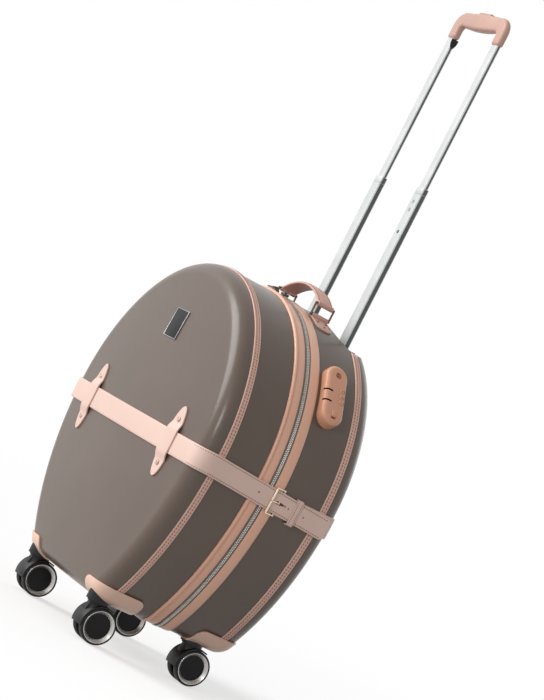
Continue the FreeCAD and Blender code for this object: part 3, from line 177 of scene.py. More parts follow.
class Bench:
    """A modelling bench: Blender's own operators, with the selection set before each one."""

    @staticmethod
    def clear() -> None:
        """Leaves edit mode and deselects every object."""
        if bpy.context.object is not None and bpy.context.object.mode != "OBJECT":
            bpy.ops.object.mode_set(mode="OBJECT")
        bpy.ops.object.select_all(action="DESELECT")

    @staticmethod
    def take(piece: Piece) -> None:
        """Makes one piece the only selected object and the active one.

        Args:
            piece: The piece.
        """
        Bench.clear()
        piece.select_set(True)
        bpy.context.view_layer.objects.active = piece

    @staticmethod
    def edit(piece: Piece) -> None:
        """Enters edit mode on a piece, with everything selected.

        Args:
            piece: The piece.
        """
        Bench.take(piece)
        bpy.ops.object.mode_set(mode="EDIT")
        Bench.select_all()

    @staticmethod
    def select_all() -> None:
        """Selects everything in edit mode, by its vertices."""
        bpy.ops.mesh.select_mode(type="VERT")
        bpy.ops.mesh.select_all(action="SELECT")

    @staticmethod
    def named(name: str) -> Piece:
        """Names the object that was just added and its mesh, and moves its place and turn into the mesh.

        Args:
            name: The name of both.

        Returns:
            The object.
        """
        piece = bpy.context.object
        piece.name = name
        piece.data.name = name
        bpy.ops.object.transform_apply(location=True, rotation=True, scale=True)
        return piece

    @staticmethod
    def cube(name: str, size: Point, place: Point = ORIGIN) -> Piece:
        """Adds a block.

        Args:
            name: The name of the new piece.
            size: Its three sizes.
            place: Its middle.

        Returns:
            The block, in object mode.
        """
        Bench.clear()
        bpy.ops.mesh.primitive_cube_add(size=1.0, location=place, scale=size)
        return Bench.named(name)

    @staticmethod
    def cylinder(name: str, sides: int, size: tuple[float, float], place: Point, turn: Point,
                 scale: Point = (1.0, 1.0, 1.0)) -> Piece:
        """Adds a cylinder.

        Args:
            name: The name of the new piece.
            sides: How many sides it has.
            size: Its radius and its depth.
            place: Its middle.
            turn: Its turn from upright.
            scale: Its scale before the turn.

        Returns:
            The cylinder, in object mode.
        """
        Bench.clear()
        radius, depth = size
        bpy.ops.mesh.primitive_cylinder_add(vertices=sides, radius=radius, depth=depth, location=place,
                                            rotation=turn, scale=scale)
        return Bench.named(name)

    @staticmethod
    def bar(name: str, size: Point, place: Point, axis: int, corner: float) -> Piece:
        """Models a bar whose edges along one axis are well rounded.

        Args:
            name: The name of the new piece.
            size: Its three sizes.
            place: Its middle.
            axis: The number of the axis.
            corner: The rounding of those edges.

        Returns:
            The bar, in edit mode.
        """
        bar = Bench.cube(name, size, place)
        Bench.edit(bar)
        Bench.pick(bar, Part.EDGES, lambda edge: abs(edge.verts[0].co[axis] - edge.verts[1].co[axis]) > 1.0)
        bpy.ops.mesh.bevel(offset=corner, segments=6, affect="EDGES")
        return bar

    @staticmethod
    def pick(piece: Piece, part: Part, test: Callable[[object], bool]) -> None:
        """Selects the vertices, edges or faces that a test chooses, in edit mode.

        Args:
            piece: The piece in edit mode.
            part: What is selected.
            test: A test of one vertex, edge or face.
        """
        mode, items = part.value
        bpy.ops.mesh.select_mode(type=mode)
        mesh = bmesh.from_edit_mesh(piece.data)
        for item in getattr(mesh, items):
            item.select = test(item)
        mesh.select_flush_mode()
        bmesh.update_edit_mesh(piece.data)

    @staticmethod
    def wire(name: str, points: Sequence[Point], closed: bool = False) -> Piece:
        """Draws a wire by extruding one vertex from point to point.

        Args:
            name: The name of the new piece.
            points: The places that the wire runs through.
            closed: Whether the last point joins the first.

        Returns:
            The new piece, in edit mode with all of it selected.
        """
        Bench.clear()
        bpy.ops.mesh.primitive_plane_add(size=1.0, location=ORIGIN)
        piece = Bench.named(name)
        Bench.edit(piece)
        bpy.ops.mesh.merge(type="CENTER")
        bpy.ops.transform.translate(value=points[0])
        for start, end in zip(points, points[1:]):
            Bench.extrude(Vector(end) - Vector(start))
        if closed:
            Bench.pick(piece, Part.VERTICES, lambda vertex: len(vertex.link_edges) == 1)
            bpy.ops.mesh.edge_face_add()
        Bench.select_all()
        return piece

    @staticmethod
    def extrude(move: Iterable[float]) -> None:
        """Extrudes what is selected by one move."""
        bpy.ops.mesh.extrude_region_move(TRANSFORM_OT_translate={"value": tuple(move)})

    @staticmethod
    def extrude_along(move: Iterable[float], steps: int) -> None:
        """Extrudes what is selected by a move, in equal steps.

        Args:
            move: The whole move.
            steps: How many steps it has.
        """
        step = Vector(move) / steps
        for _ in range(steps):
            Bench.extrude(step)

    @staticmethod
    def copy_along(move: Iterable[float], copies: int) -> None:
        """Copies what is selected again and again, each time by the same move."""
        for _ in range(copies):
            bpy.ops.mesh.duplicate_move(TRANSFORM_OT_translate={"value": tuple(move)})

    @staticmethod
    def spin(steps: int, angle: float, centre: Point, axis: Point, copies: bool = False) -> None:
        """Turns what is selected round an axis, right-handed, though the operator counts the other way."""
        bpy.ops.mesh.spin(steps=steps, dupli=copies, angle=-angle, use_auto_merge=False, center=centre, axis=axis)

    @staticmethod
    def close_up(gap: float = MERGE_GAP) -> None:
        """Merges doubles and turns all faces outwards, in edit mode.

        Args:
            gap: How far apart doubles may lie.
        """
        Bench.select_all()
        bpy.ops.mesh.remove_doubles(threshold=gap)
        bpy.ops.mesh.normals_make_consistent(inside=False)

    @staticmethod
    def seal(gap: float = MERGE_GAP) -> None:
        """Closes a piece up and leaves edit mode."""
        Bench.close_up(gap)
        Bench.clear()

    @staticmethod
    def cap_ends(piece: Piece) -> None:
        """Fills every open loop of a swept piece with a face, in edit mode."""
        Bench.pick(piece, Part.EDGES, is_open)
        bpy.ops.mesh.edge_face_add()

    @staticmethod
    def slice(point: Point, normal: Point) -> None:
        """Cuts all of a piece with a plane and drops what lies on the normal's side, in edit mode."""
        bpy.ops.mesh.select_all(action="SELECT")
        bpy.ops.mesh.bisect(plane_co=point, plane_no=normal, clear_outer=True, use_fill=True)

    @staticmethod
    def cut_across(places: Iterable[float], gap: float = 0.0001) -> None:
        """Cuts all of a piece across X at several places, in edit mode.

        Args:
            places: The places along X.
            gap: How near a vertex lies that takes the cut.
        """
        for x in places:
            bpy.ops.mesh.select_all(action="SELECT")
            bpy.ops.mesh.bisect(plane_co=(x, 0.0, 0.0), plane_no=RIGHT_AXIS, threshold=gap)

    @staticmethod
    def modify(piece: Piece, kind: str, **settings: object) -> None:
        """Adds a modifier and applies it.

        Args:
            piece: The piece.
            kind: The modifier's type.
            settings: The modifier's settings.
        """
        Bench.take(piece)
        modifier = piece.modifiers.new(kind.lower(), kind)
        for key, value in settings.items():
            setattr(modifier, key, value)
        bpy.ops.object.modifier_apply(modifier=modifier.name)

    @staticmethod
    def mirror(piece: Piece, merge: bool = True) -> None:
        """Adds the left half of a piece that was modelled on the right."""
        Bench.modify(piece, "MIRROR", use_axis=(True, False, False), use_mirror_merge=merge, merge_threshold=0.01)

    @staticmethod
    def round_edges(piece: Piece, width: float, segments: int = 2, angle: float = 35.0) -> None:
        """Rounds the edges of a piece that are sharper than an angle in degrees."""
        Bench.modify(piece, "BEVEL", width=width, segments=segments, limit_method="ANGLE",
                     angle_limit=math.radians(angle), harden_normals=False, use_clamp_overlap=True)

    @staticmethod
    def subtract(piece: Piece, tool: Piece) -> None:
        """Takes the tool's shape out of a piece and deletes the tool."""
        Bench.modify(piece, "BOOLEAN", operation="DIFFERENCE", object=tool, solver="EXACT")
        bpy.data.objects.remove(tool)

    @staticmethod
    def join(name: str, pieces: Sequence[Piece]) -> Piece:
        """Joins pieces into the first of them.

        Args:
            name: The name of the whole.
            pieces: The pieces.

        Returns:
            The whole.
        """
        Bench.take(pieces[0])
        for piece in pieces[1:]:
            piece.select_set(True)
        bpy.ops.object.join()
        pieces[0].name = name
        return pieces[0]

    @staticmethod
    def reshape(piece: Piece, move: Callable[[Vector], Vector]) -> None:
        """Moves each vertex of a piece.

        Args:
            piece: The piece.
            move: Gives a vertex's new place.
        """
        Bench.clear()
        for vertex in piece.data.vertices:
            vertex.co = move(vertex.co)
        piece.data.update()

    @staticmethod
    def copy_node(node: str, name: str) -> Piece:
        """Copies a CAD node's mesh as a new merged piece in millimetres.

        Args:
            node: The CAD node.
            name: The name of the new piece.

        Returns:
            The new piece, in object mode.
        """
        Bench.clear()
        mesh = frame["nodes"][node].data.copy()
        piece = linked(name, mesh)
        mesh.name = name
        mesh.materials.clear()
        mesh.transform(Matrix.Scale(1.0 / MM, 4))
        Bench.edit(piece)
        bpy.ops.mesh.customdata_custom_splitnormals_clear()
        bpy.ops.mesh.remove_doubles(threshold=2.0 * MERGE_GAP)
        bpy.ops.mesh.mark_sharp(clear=True)
        bpy.ops.mesh.dissolve_limited(angle_limit=math.radians(0.4))
        Bench.clear()
        return piece


class Fitter:
    """Finishes pieces: metres, smooth shading, finish, body and the CAD nodes they stand for."""

    @staticmethod
    def fit(piece: Piece, body: str, finish: "Finish", replaces: Sequence[str] = (), smooth: float = 40.0,
            ride: bool = True) -> Piece:
        """Finishes one piece that was modelled in millimetres.

        Args:
            piece: The piece.
            body: The CAD body that it moves with.
            finish: Its finish.
            replaces: The CAD nodes that it stands for.
            smooth: The angle in degrees below which edges are shaded smooth.
            ride: Whether it rides on its body here; if not, it is left on no body.

        Returns:
            The same piece.
        """
        Bench.take(piece)
        piece.data.transform(Matrix.Scale(MM, 4))
        bpy.ops.object.shade_smooth_by_angle(angle=math.radians(smooth))
        piece.data.materials.clear()
        piece.data.materials.append(finish.material())
        if ride:
            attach(piece, body)
        if replaces:
            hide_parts(*replaces)
        LOG.info("%s on %s, %d faces", piece.name, body, len(piece.data.polygons))
        return piece

    @staticmethod
    def accent(piece: Piece, finish: "Finish", test: Callable[[bpy.types.MeshPolygon], bool]) -> None:
        """Gives the faces of a fitted piece that pass a test a second finish.

        Args:
            piece: The fitted piece.
            finish: The second finish.
            test: A test of one face.
        """
        piece.data.materials.append(finish.material())
        for face in piece.data.polygons:
            if test(face):
                face.material_index = 1

    @staticmethod
    def dress(finish: "Finish", *nodes: str) -> None:
        """Gives CAD nodes that keep their shape a finish.

        Args:
            finish: The finish.
            nodes: The CAD nodes.
        """
        for name in nodes:
            for holder in frame["nodes"][name].material_slots:
                holder.material = finish.material()
            LOG.info("%s dressed in %s", name, finish.name)

    @staticmethod
    def soften(node: str, name: str, body: str, finish: "Finish", width: float, segments: int = 2) -> Piece:
        """Replaces a CAD node by a copy of it with rounded edges.

        Args:
            node: The CAD node.
            name: The name of the new piece.
            body: The body that it rides on.
            finish: Its finish.
            width: The width of the edge rounding.
            segments: How many faces the rounding has.

        Returns:
            The new piece.
        """
        piece = Bench.copy_node(node, name)
        Bench.round_edges(piece, width, segments)
        return Fitter.fit(piece, body, finish, (node,))


class Graph:
    """A material's node tree while it is built."""

    def __init__(self, name: str) -> None:
        """Starts an empty material with one principled shader.

        Args:
            name: The name of the material.
        """
        self.material = bpy.data.materials.new(name)
        self.material.use_nodes = True
        self.tree = self.material.node_tree
        self.shader = self.tree.nodes["Principled BSDF"]
        self.place = self.add("ShaderNodeTexCoord").outputs["Object"]

    def add(self, kind: str, inputs: Optional[dict] = None, **settings: object) -> bpy.types.Node:
        """Adds a node, sets its properties, and sets or links its inputs.

        Args:
            kind: The node's type.
            inputs: Values or output sockets by input name or index.
            settings: Properties of the node.

        Returns:
            The new node.
        """
        node = self.tree.nodes.new(kind)
        for key, value in settings.items():
            setattr(node, key, value)
        for key, value in (inputs or {}).items():
            self.feed(node.inputs[key], value)
        return node

    def feed(self, socket: Socket, value: object) -> None:
        """Links an output to a socket, or sets the socket's own value.

        Args:
            socket: The socket.
            value: An output socket, or a plain value.
        """
        if isinstance(value, Socket):
            self.tree.links.new(value, socket)
        else:
            socket.default_value = value

    def set(self, **values: object) -> None:
        """Sets or links the shader's sockets, named with underscores for spaces."""
        for key, value in values.items():
            self.feed(self.shader.inputs[key.replace("_", " ")], value)

    def scaled(self, scale: Point) -> Socket:
        """The object place, scaled along each axis."""
        return self.add("ShaderNodeMapping", {"Vector": self.place, "Scale": scale}).outputs["Vector"]

    def noise(self, scale: float, detail: float = 3.0, place: Optional[Socket] = None) -> Socket:
        """A noise of the given scale."""
        node = self.add("ShaderNodeTexNoise", {"Vector": place or self.place, "Scale": scale, "Detail": detail})
        return node.outputs["Fac"]

    def cells(self, scale: float) -> Socket:
        """The distance to the edges of a field of small cells, as in leather grain."""
        node = self.add("ShaderNodeTexVoronoi", {"Vector": self.place, "Scale": scale}, feature="DISTANCE_TO_EDGE")
        return node.outputs["Distance"]

    def maths(self, operation: str, first: object, second: object = 0.0) -> Socket:
        """One sum, product or other operation on one or two values."""
        return self.add("ShaderNodeMath", {0: first, 1: second}, operation=operation).outputs["Value"]

    def between(self, value: object, low: float, high: float, start: float = 0.0, end: float = 1.0) -> Socket:
        """A value mapped from one range to another and clamped."""
        return self.add("ShaderNodeMapRange", {"Value": value, "From Min": start, "From Max": end, "To Min": low,
                                               "To Max": high}).outputs["Result"]

    def mix(self, amount: object, first: object, second: object) -> Socket:
        """A mix of two colours, whose sockets Blender tells apart only by number."""
        return self.add("ShaderNodeMix", {"Factor": amount, 6: first, 7: second}, data_type="RGBA").outputs[2]

    def mottled(self, amount: object, colour: Point, dark: float, light: float) -> Socket:
        """A colour that wanders between a darker and a lighter tone of itself."""
        return self.mix(amount, tone(colour, dark), tone(colour, light))

    def bump(self, height: object, strength: float, distance: float, below: Optional[Socket] = None) -> Socket:
        """A bump from a height.

        Args:
            height: The height.
            strength: How strong the bump is.
            distance: How deep it is, in metres.
            below: Another bump that it lies over.

        Returns:
            The bumped normal.
        """
        inputs = {"Height": height, "Strength": strength, "Distance": distance}
        if below is not None:
            inputs["Normal"] = below
        return self.add("ShaderNodeBump", inputs).outputs["Normal"]


def tone(colour: Point, factor: float = 1.0) -> tuple[float, float, float, float]:
    """A display colour of 0 to 255 as a linear colour, brightened or darkened by a factor.

    Args:
        colour: Red, green and blue as they show on a screen.
        factor: What the linear colour is multiplied by.

    Returns:
        The linear colour with full opacity.
    """
    linear = []
    for level in colour:
        share = level / 255.0
        value = share / 12.92 if share <= 0.04045 else ((share + 0.055) / 1.055) ** 2.4
        linear.append(min(1.0, value * factor))
    return (*linear, 1.0)


@dataclass(frozen=True)
class Finish:
    """A finish: its colour, its gloss and the record's slot that it belongs to."""

    name: str
    slot: str
    colour: Point
    roughness: float
    made: ClassVar[dict[str, bpy.types.Material]] = {}

    def material(self) -> bpy.types.Material:
        """The finish's material, made once.

        Returns:
            The material.
        """
        if self.name not in Finish.made:
            graph = Graph(self.name)
            self.paint(graph)
            Finish.made[self.name] = graph.material
        return Finish.made[self.name]

    def paint(self, graph: Graph) -> None:
        """Builds the material's nodes."""
        raise NotImplementedError


@dataclass(frozen=True)
class GrainFinish(Finish):
    """Leather or leather-look cover: pebbled grain, mottled colour and uneven gloss."""

    grain: float = 900.0
    depth: float = 0.35
    mottle: float = 0.10
    coat: float = 0.0
    shine: float = 0.5
    patches: ClassVar[float] = 9.0
    specks: ClassVar[float] = 420.0
    gloss_spread: ClassVar[float] = 0.06

    def paint(self, graph: Graph) -> None:
        """Lays grain over a mottled colour.

        Args:
            graph: The material's graph.
        """
        broad = graph.noise(self.patches, 2.0)
        fine = graph.noise(self.specks, 4.0)
        shade = graph.maths("ADD", graph.maths("MULTIPLY", broad, 0.6), graph.maths("MULTIPLY", fine, 0.4))
        level = graph.between(shade, 0.0, 1.0, *WIDE_BAND)
        colour = graph.mottled(level, self.colour, 1.0 - self.mottle, 1.0 + self.mottle)
        pebbles = graph.between(graph.cells(self.grain), 0.0, 1.0, 0.0, 0.35)
        creases = graph.noise(self.grain * 0.35, 5.0)
        skin = graph.bump(pebbles, self.depth, 0.00012)
        skin = graph.bump(creases, self.depth * 0.8, 0.00018, skin)
        gloss = graph.between(fine, self.roughness - self.gloss_spread, self.roughness + self.gloss_spread, *WIDE_BAND)
        graph.set(Base_Color=colour, Roughness=gloss, Normal=skin, Specular_IOR_Level=self.shine)
        if self.coat:
            graph.set(Coat_Weight=self.coat, Coat_Roughness=0.2)


@dataclass(frozen=True)
class MetalFinish(Finish):
    """Metal with fine brush lines along Z or a fine cast surface."""

    metallic: float = 1.0
    lines: Point = (900.0, 900.0, 12.0)
    depth: float = 0.06
    clouds: ClassVar[float] = 30.0

    def paint(self, graph: Graph) -> None:
        """Lays fine lines over the bare metal.

        Args:
            graph: The material's graph.
        """
        brushed = graph.noise(1.0, 3.0, graph.scaled(self.lines))
        cloud = graph.between(graph.noise(self.clouds, 2.0), 0.0, 1.0, *NARROW_BAND)
        gloss = graph.between(brushed, self.roughness - 0.05, self.roughness + 0.07, *WIDE_BAND)
        graph.set(Base_Color=graph.mottled(cloud, self.colour, 0.94, 1.04), Metallic=self.metallic, Roughness=gloss,
                  Normal=graph.bump(brushed, self.depth, 0.0001))


@dataclass(frozen=True)
class MouldedFinish(Finish):
    """Moulded plastic or rubber with a fine spark-eroded texture."""

    texture: float = 1800.0
    depth: float = 0.12
    mottle: float = 0.04
    coat: float = 0.0
    shine: float = 0.5
    patches: ClassVar[float] = 14.0
    gloss_spread: ClassVar[float] = 0.04

    def paint(self, graph: Graph) -> None:
        """Lays the mould's texture over a nearly even colour.

        Args:
            graph: The material's graph.
        """
        fine = graph.noise(self.texture, 2.0)
        broad = graph.noise(self.patches, 2.0)
        level = graph.between(broad, 0.0, 1.0, *NARROW_BAND)
        colour = graph.mottled(level, self.colour, 1.0 - self.mottle, 1.0 + self.mottle)
        gloss = graph.between(broad, self.roughness - self.gloss_spread, self.roughness + self.gloss_spread,
                              *NARROW_BAND)
        graph.set(Base_Color=colour, Roughness=gloss, Normal=graph.bump(fine, self.depth, 0.00006),
                  Specular_IOR_Level=self.shine)
        if self.coat:
            graph.set(Coat_Weight=self.coat, Coat_Roughness=0.08)


@dataclass(frozen=True)
class WovenFinish(Finish):
    """Woven cloth or tape: crossing threads with a soft sheen."""

    pitch: float = 0.0012
    line_start: float = 0.0
    line_end: float = 0.0
    line_colour: ClassVar[Point] = (62.0, 58.0, 54.0)
    fuzz: ClassVar[float] = 300.0

    def paint(self, graph: Graph) -> None:
        """Crosses two sets of threads, and draws the tape's dark sewing line where it has one.

        Args:
            graph: The material's graph.
        """
        turns = FULL_TURN / self.pitch
        split = graph.add("ShaderNodeSeparateXYZ", {"Vector": graph.place})
        slanted = graph.maths("ADD", split.outputs["X"], split.outputs["Z"])
        warp = graph.maths("SINE", graph.maths("MULTIPLY", slanted, turns))
        weft = graph.maths("SINE", graph.maths("MULTIPLY", split.outputs["Y"], turns))
        weave = graph.between(graph.maths("MULTIPLY", warp, weft), 0.0, 1.0, -1.0, 1.0)
        level = graph.maths("ADD", graph.maths("MULTIPLY", weave, 0.6),
                            graph.maths("MULTIPLY", graph.noise(self.fuzz, 4.0), 0.4))
        colour = graph.mottled(level, self.colour, 0.72, 1.14)
        if self.line_end:
            side = graph.maths("ABSOLUTE", split.outputs["Y"])
            inside = graph.maths("MULTIPLY", graph.maths("GREATER_THAN", side, self.line_start),
                                 graph.maths("LESS_THAN", side, self.line_end))
            colour = graph.mix(inside, colour, tone(self.line_colour))
        graph.set(Base_Color=colour, Roughness=self.roughness, Normal=graph.bump(weave, 0.4, 0.0002),
                  Sheen_Weight=0.25, Sheen_Roughness=0.5)


CAST = (500.0, 500.0, 500.0)
DRAWN = (420.0, 420.0, 2.0)
COVER = GrainFinish("taupe_grained_cover", "taupe_cover", (99.0, 84.0, 74.0), 0.4, grain=1000.0, coat=0.42,
                    shine=0.25)
LEATHER = GrainFinish("blush_strap_leather", "blush_leather", (232.0, 200.0, 186.0), 0.5, grain=1300.0, depth=0.22,
                      mottle=0.05)
BINDING_LEATHER = GrainFinish("blush_binding_leather", "blush_leather", (231.0, 188.0, 171.0), 0.52, grain=1300.0,
                              depth=0.3, mottle=0.08)
HANDLE_LEATHER = GrainFinish("rose_handle_leather", "blush_leather", (214.0, 169.0, 154.0), 0.5, grain=1200.0,
                             depth=0.3, mottle=0.08)
PIPING = GrainFinish("salmon_zip_piping", "blush_leather", (240.0, 184.0, 155.0), 0.36, grain=1500.0, depth=0.14,
                     mottle=0.05, coat=0.35)
GUARD = GrainFinish("blush_corner_guard", "salmon_moulding", (240.0, 200.0, 178.0), 0.4, grain=1500.0, depth=0.14,
                    mottle=0.04, coat=0.2)
PLUG_MOULDING = MouldedFinish("brown_plug_moulding", "salmon_moulding", (172.0, 118.0, 92.0), 0.4)
BEZEL_MOULDING = MouldedFinish("taupe_bezel_moulding", "black_plastic", (108.0, 97.0, 90.0), 0.5)
RIVET = MetalFinish("dull_keeper_rivet", "bright_metal", (196.0, 172.0, 154.0), 0.3, lines=CAST, depth=0.03)
LOCK_MOULDING = MouldedFinish("salmon_lock_moulding", "salmon_moulding", (224.0, 164.0, 132.0), 0.42, coat=0.1)
DIGIT = MouldedFinish("brown_dial_digit", "salmon_moulding", (98.0, 62.0, 48.0), 0.5)
GRIP_MOULDING = MouldedFinish("blush_grip_moulding", "salmon_moulding", (203.0, 162.0, 147.0), 0.46)
THREAD = MouldedFinish("brown_sewing_thread", "blush_leather", (132.0, 92.0, 80.0), 0.75, texture=2600.0, depth=0.4,
                       mottle=0.15)
BINDING_THREAD = MouldedFinish("russet_binding_thread", "blush_leather", (150.0, 104.0, 90.0), 0.75, texture=2600.0,
                               depth=0.4, mottle=0.1)
TAPE = WovenFinish("drab_zip_tape", "zip_tape", (146.0, 128.0, 114.0), 0.8, pitch=0.0011, line_start=0.0031,
                   line_end=0.0037)
LINING = WovenFinish("sand_lining_cloth", "lining_cloth", (196.0, 180.0, 164.0), 0.78, pitch=0.0014)
WEBBING = WovenFinish("taupe_packing_webbing", "lining_cloth", (122.0, 106.0, 97.0), 0.7, pitch=0.0024)
ALUMINIUM = MetalFinish("satin_aluminium_tube", "satin_aluminium", (210.0, 213.0, 213.0), 0.42, metallic=0.12,
                        lines=DRAWN, depth=0.004)
# Painted shade: this darker grey goes on the tubes' side faces. The rivets' rims and the locking pin take it too.
SHADE_AND_RIM_GREY = MetalFinish("grey_tube_shade_and_rivet_rim", "satin_aluminium", (86.0, 88.0, 88.0), 0.4, metallic=0.2, lines=DRAWN,
                        depth=0.004)
BRIGHT = MetalFinish("bright_wheel_ring", "bright_metal", (206.0, 204.0, 200.0), 0.28, lines=(600.0, 600.0, 600.0),
                     depth=0.02, metallic=0.8)
CHAMPAGNE = MetalFinish("champagne_buckle_metal", "bright_metal", (218.0, 201.0, 178.0), 0.22, lines=CAST,
                        depth=0.03)
BRONZE = MetalFinish("dark_bronze_wire", "dark_bronze", (92.0, 80.0, 70.0), 0.32, lines=CAST, depth=0.05)
STEEL = MetalFinish("spring_steel_rod", "spring_steel", (170.0, 172.0, 176.0), 0.35)
BLACK = MouldedFinish("black_caster_plastic", "black_plastic", (15.0, 15.0, 15.0), 0.42, shine=0.3)
DISC_BLACK = MouldedFinish("black_wheel_disc", "wheel_hub", (9.0, 9.0, 9.0), 0.3, depth=0.03, shine=0.2)
RUBBER = MouldedFinish("black_tyre_rubber", "tyre_black", (24.0, 23.0, 23.0), 0.6, texture=1200.0, depth=0.25,
                       shine=0.3)
BADGE_BLACK = MouldedFinish("black_badge_enamel", "badge_black", (20.0, 20.0, 20.0), 0.36, depth=0.08, shine=0.2)


@dataclass(frozen=True)
class Stitch:
    """One stitch of sewing thread, as a short barrel with tapered ends."""

    radius: float
    length: float
    pitch: float

    def seed(self, name: str, place: Point, run: Run) -> Piece:
        """Models the first stitch of a row.

        Args:
            name: The name of the row.
            place: The middle of the stitch.
            run: The way that it lies.

        Returns:
            The new row, in edit mode with the stitch selected.
        """
        way, turn = run.value
        axis = Vector(way)
        row = Bench.cylinder(name, 6, (self.radius, self.length - self.radius), place, turn)
        Bench.edit(row)
        Bench.pick(row, Part.FACES, lambda face: abs(face.normal.dot(axis)) > SQUARE)
        bpy.ops.mesh.inset(thickness=self.radius * 0.45, depth=self.radius * 0.5, use_individual=True)
        Bench.select_all()
        return row

    def rows(self, name: str, places: Iterable[Point], run: Run, repeat: Callable[[Piece], None]) -> Piece:
        """Sews parallel rows.

        Args:
            name: The name of the sewing.
            places: The place of each row's first stitch.
            run: The way that the first stitches lie.
            repeat: Repeats the first stitch of a row, which is selected in edit mode.

        Returns:
            All the rows as one piece.
        """
        sewn = []
        for number, place in enumerate(places):
            row = self.seed(f"{name}_{number}", place, run)
            repeat(row)
            Bench.clear()
            sewn.append(row)
        return Bench.join(name, sewn)


@dataclass(frozen=True)
class Rivet:
    """A round rivet head that looks to the front, with a stepped crown."""

    radius: float
    depth: float
    crown: Section
    rounding: float
    sides: int = 28

    def head(self, name: str, place: Point, turn: Point = FACING_FRONT) -> Piece:
        """Models one head.

        Args:
            name: The name of the head.
            place: Its middle.
            turn: Its turn from upright.

        Returns:
            The head, in object mode.
        """
        head = Bench.cylinder(name, self.sides, (self.radius, self.depth), place, turn)
        Bench.edit(head)
        Bench.pick(head, Part.FACES, faces_front)
        for thickness, depth in self.crown:
            bpy.ops.mesh.inset(thickness=thickness, depth=depth)
        Bench.clear()
        Bench.round_edges(head, self.rounding)
        return head


@dataclass(frozen=True)
class CaseOutline:
    """The outline of the case from the front: a half circle, two side arcs, two corners and a flat base."""

    centre_height: float = 300.0
    top_radius: float = 225.0
    side_radius: float = 345.0
    corner_radius: float = 30.0
    floor_drop: float = 242.5
    dome_radius: float = 2600.0
    lid_depth: float = 120.0
    sweep_steps: tuple[int, ...] = (6, 12, 28, 56)

    @property
    def shift(self) -> float:
        """How far the centre of a side arc lies beyond the middle."""
        return self.side_radius - self.top_radius

    @property
    def centre(self) -> Point:
        """The centre of the round top."""
        return 0.0, 0.0, self.centre_height

    @property
    def dome_centre(self) -> float:
        """The y of the centre of the domed front."""
        return self.dome_radius - self.lid_depth

    @property
    def corner(self) -> tuple[float, float]:
        """The centre of the right corner.

        Returns:
            Its distance from the middle and its height above the floor.
        """
        rise = self.corner_radius - self.floor_drop
        reach = math.sqrt((self.side_radius - self.corner_radius) ** 2 - rise ** 2)
        return reach - self.shift, self.centre_height + rise

    @property
    def lean(self) -> float:
        """The angle of the right side arc, from the corner up to the widest place."""
        x, z = self.corner
        return math.atan2(self.centre_height - z, x + self.shift)

    def half_width(self, height: float) -> float:
        """Half the width of the case.

        Args:
            height: The height above the floor.

        Returns:
            Half the width at that height.
        """
        rise = height - self.centre_height
        if rise >= 0.0:
            return math.sqrt(max(0.0, self.top_radius ** 2 - rise ** 2))
        return math.sqrt(self.side_radius ** 2 - rise ** 2) - self.shift

    def face(self, x: float, z: float, grow: float = 0.0) -> float:
        """The y of the domed front at a place, grown forwards."""
        away = x ** 2 + (z - self.centre_height) ** 2
        return self.dome_centre - math.sqrt((self.dome_radius + grow) ** 2 - away)

    def travel(self, steps: Sequence[int], copies: bool) -> None:
        """Takes what is selected round the right half, from the base to the top, in edit mode.

        Args:
            steps: The steps of the base, the corner, the side and the top.
            copies: Whether each step leaves a copy in place of a surface.
        """
        x, z = self.corner
        base, corner, side, top = steps
        if copies:
            Bench.copy_along((x / base, 0.0, 0.0), base - 1)
        else:
            Bench.extrude_along((x, 0.0, 0.0), base)
        Bench.spin(corner, QUARTER_TURN - self.lean, (x, 0.0, z), FORWARD_AXIS, copies)
        Bench.spin(side, self.lean, (-self.shift, 0.0, self.centre_height), FORWARD_AXIS, copies)
        Bench.spin(top, QUARTER_TURN, self.centre, FORWARD_AXIS, copies)

    def sweep(self, name: str, section: Section) -> Piece:
        """Sweeps a closed section round the whole outline.

        Args:
            name: The name of the new piece.
            section: The corners of the section, as y and the distance out from the outline.

        Returns:
            The ring, in object mode.
        """
        floor = self.centre_height - self.floor_drop
        ring = Bench.wire(name, [(0.0, y, floor - grow) for y, grow in section], closed=True)
        self.travel(self.sweep_steps, copies=False)
        Bench.mirror(ring)
        Bench.edit(ring)
        Bench.seal()
        return ring

    def row(self, seed: Callable[[Point], Piece], y: float, grow: float, pitch: float, lead: float = 0.5) -> Piece:
        """Repeats a small shape round the whole outline.

        Args:
            seed: Models the first one at a place along X, and leaves it selected in edit mode.
            y: The y of the row.
            grow: How far out from the outline it lies.
            pitch: The distance from one to the next.
            lead: The share of a pitch that the first lies from the middle.

        Returns:
            The row, in object mode.
        """
        x = self.corner[0]
        lengths = (x, (QUARTER_TURN - self.lean) * self.corner_radius, self.lean * self.side_radius,
                   QUARTER_TURN * self.top_radius)
        steps = [max(1, round(length / pitch)) for length in lengths]
        row = seed((x / steps[0] * lead, y, self.centre_height - self.floor_drop - grow))
        self.travel(steps, copies=True)
        Bench.mirror(row, merge=False)
        Bench.edit(row)
        bpy.ops.mesh.normals_make_consistent(inside=False)
        Bench.clear()
        return row


OUTLINE = CaseOutline()


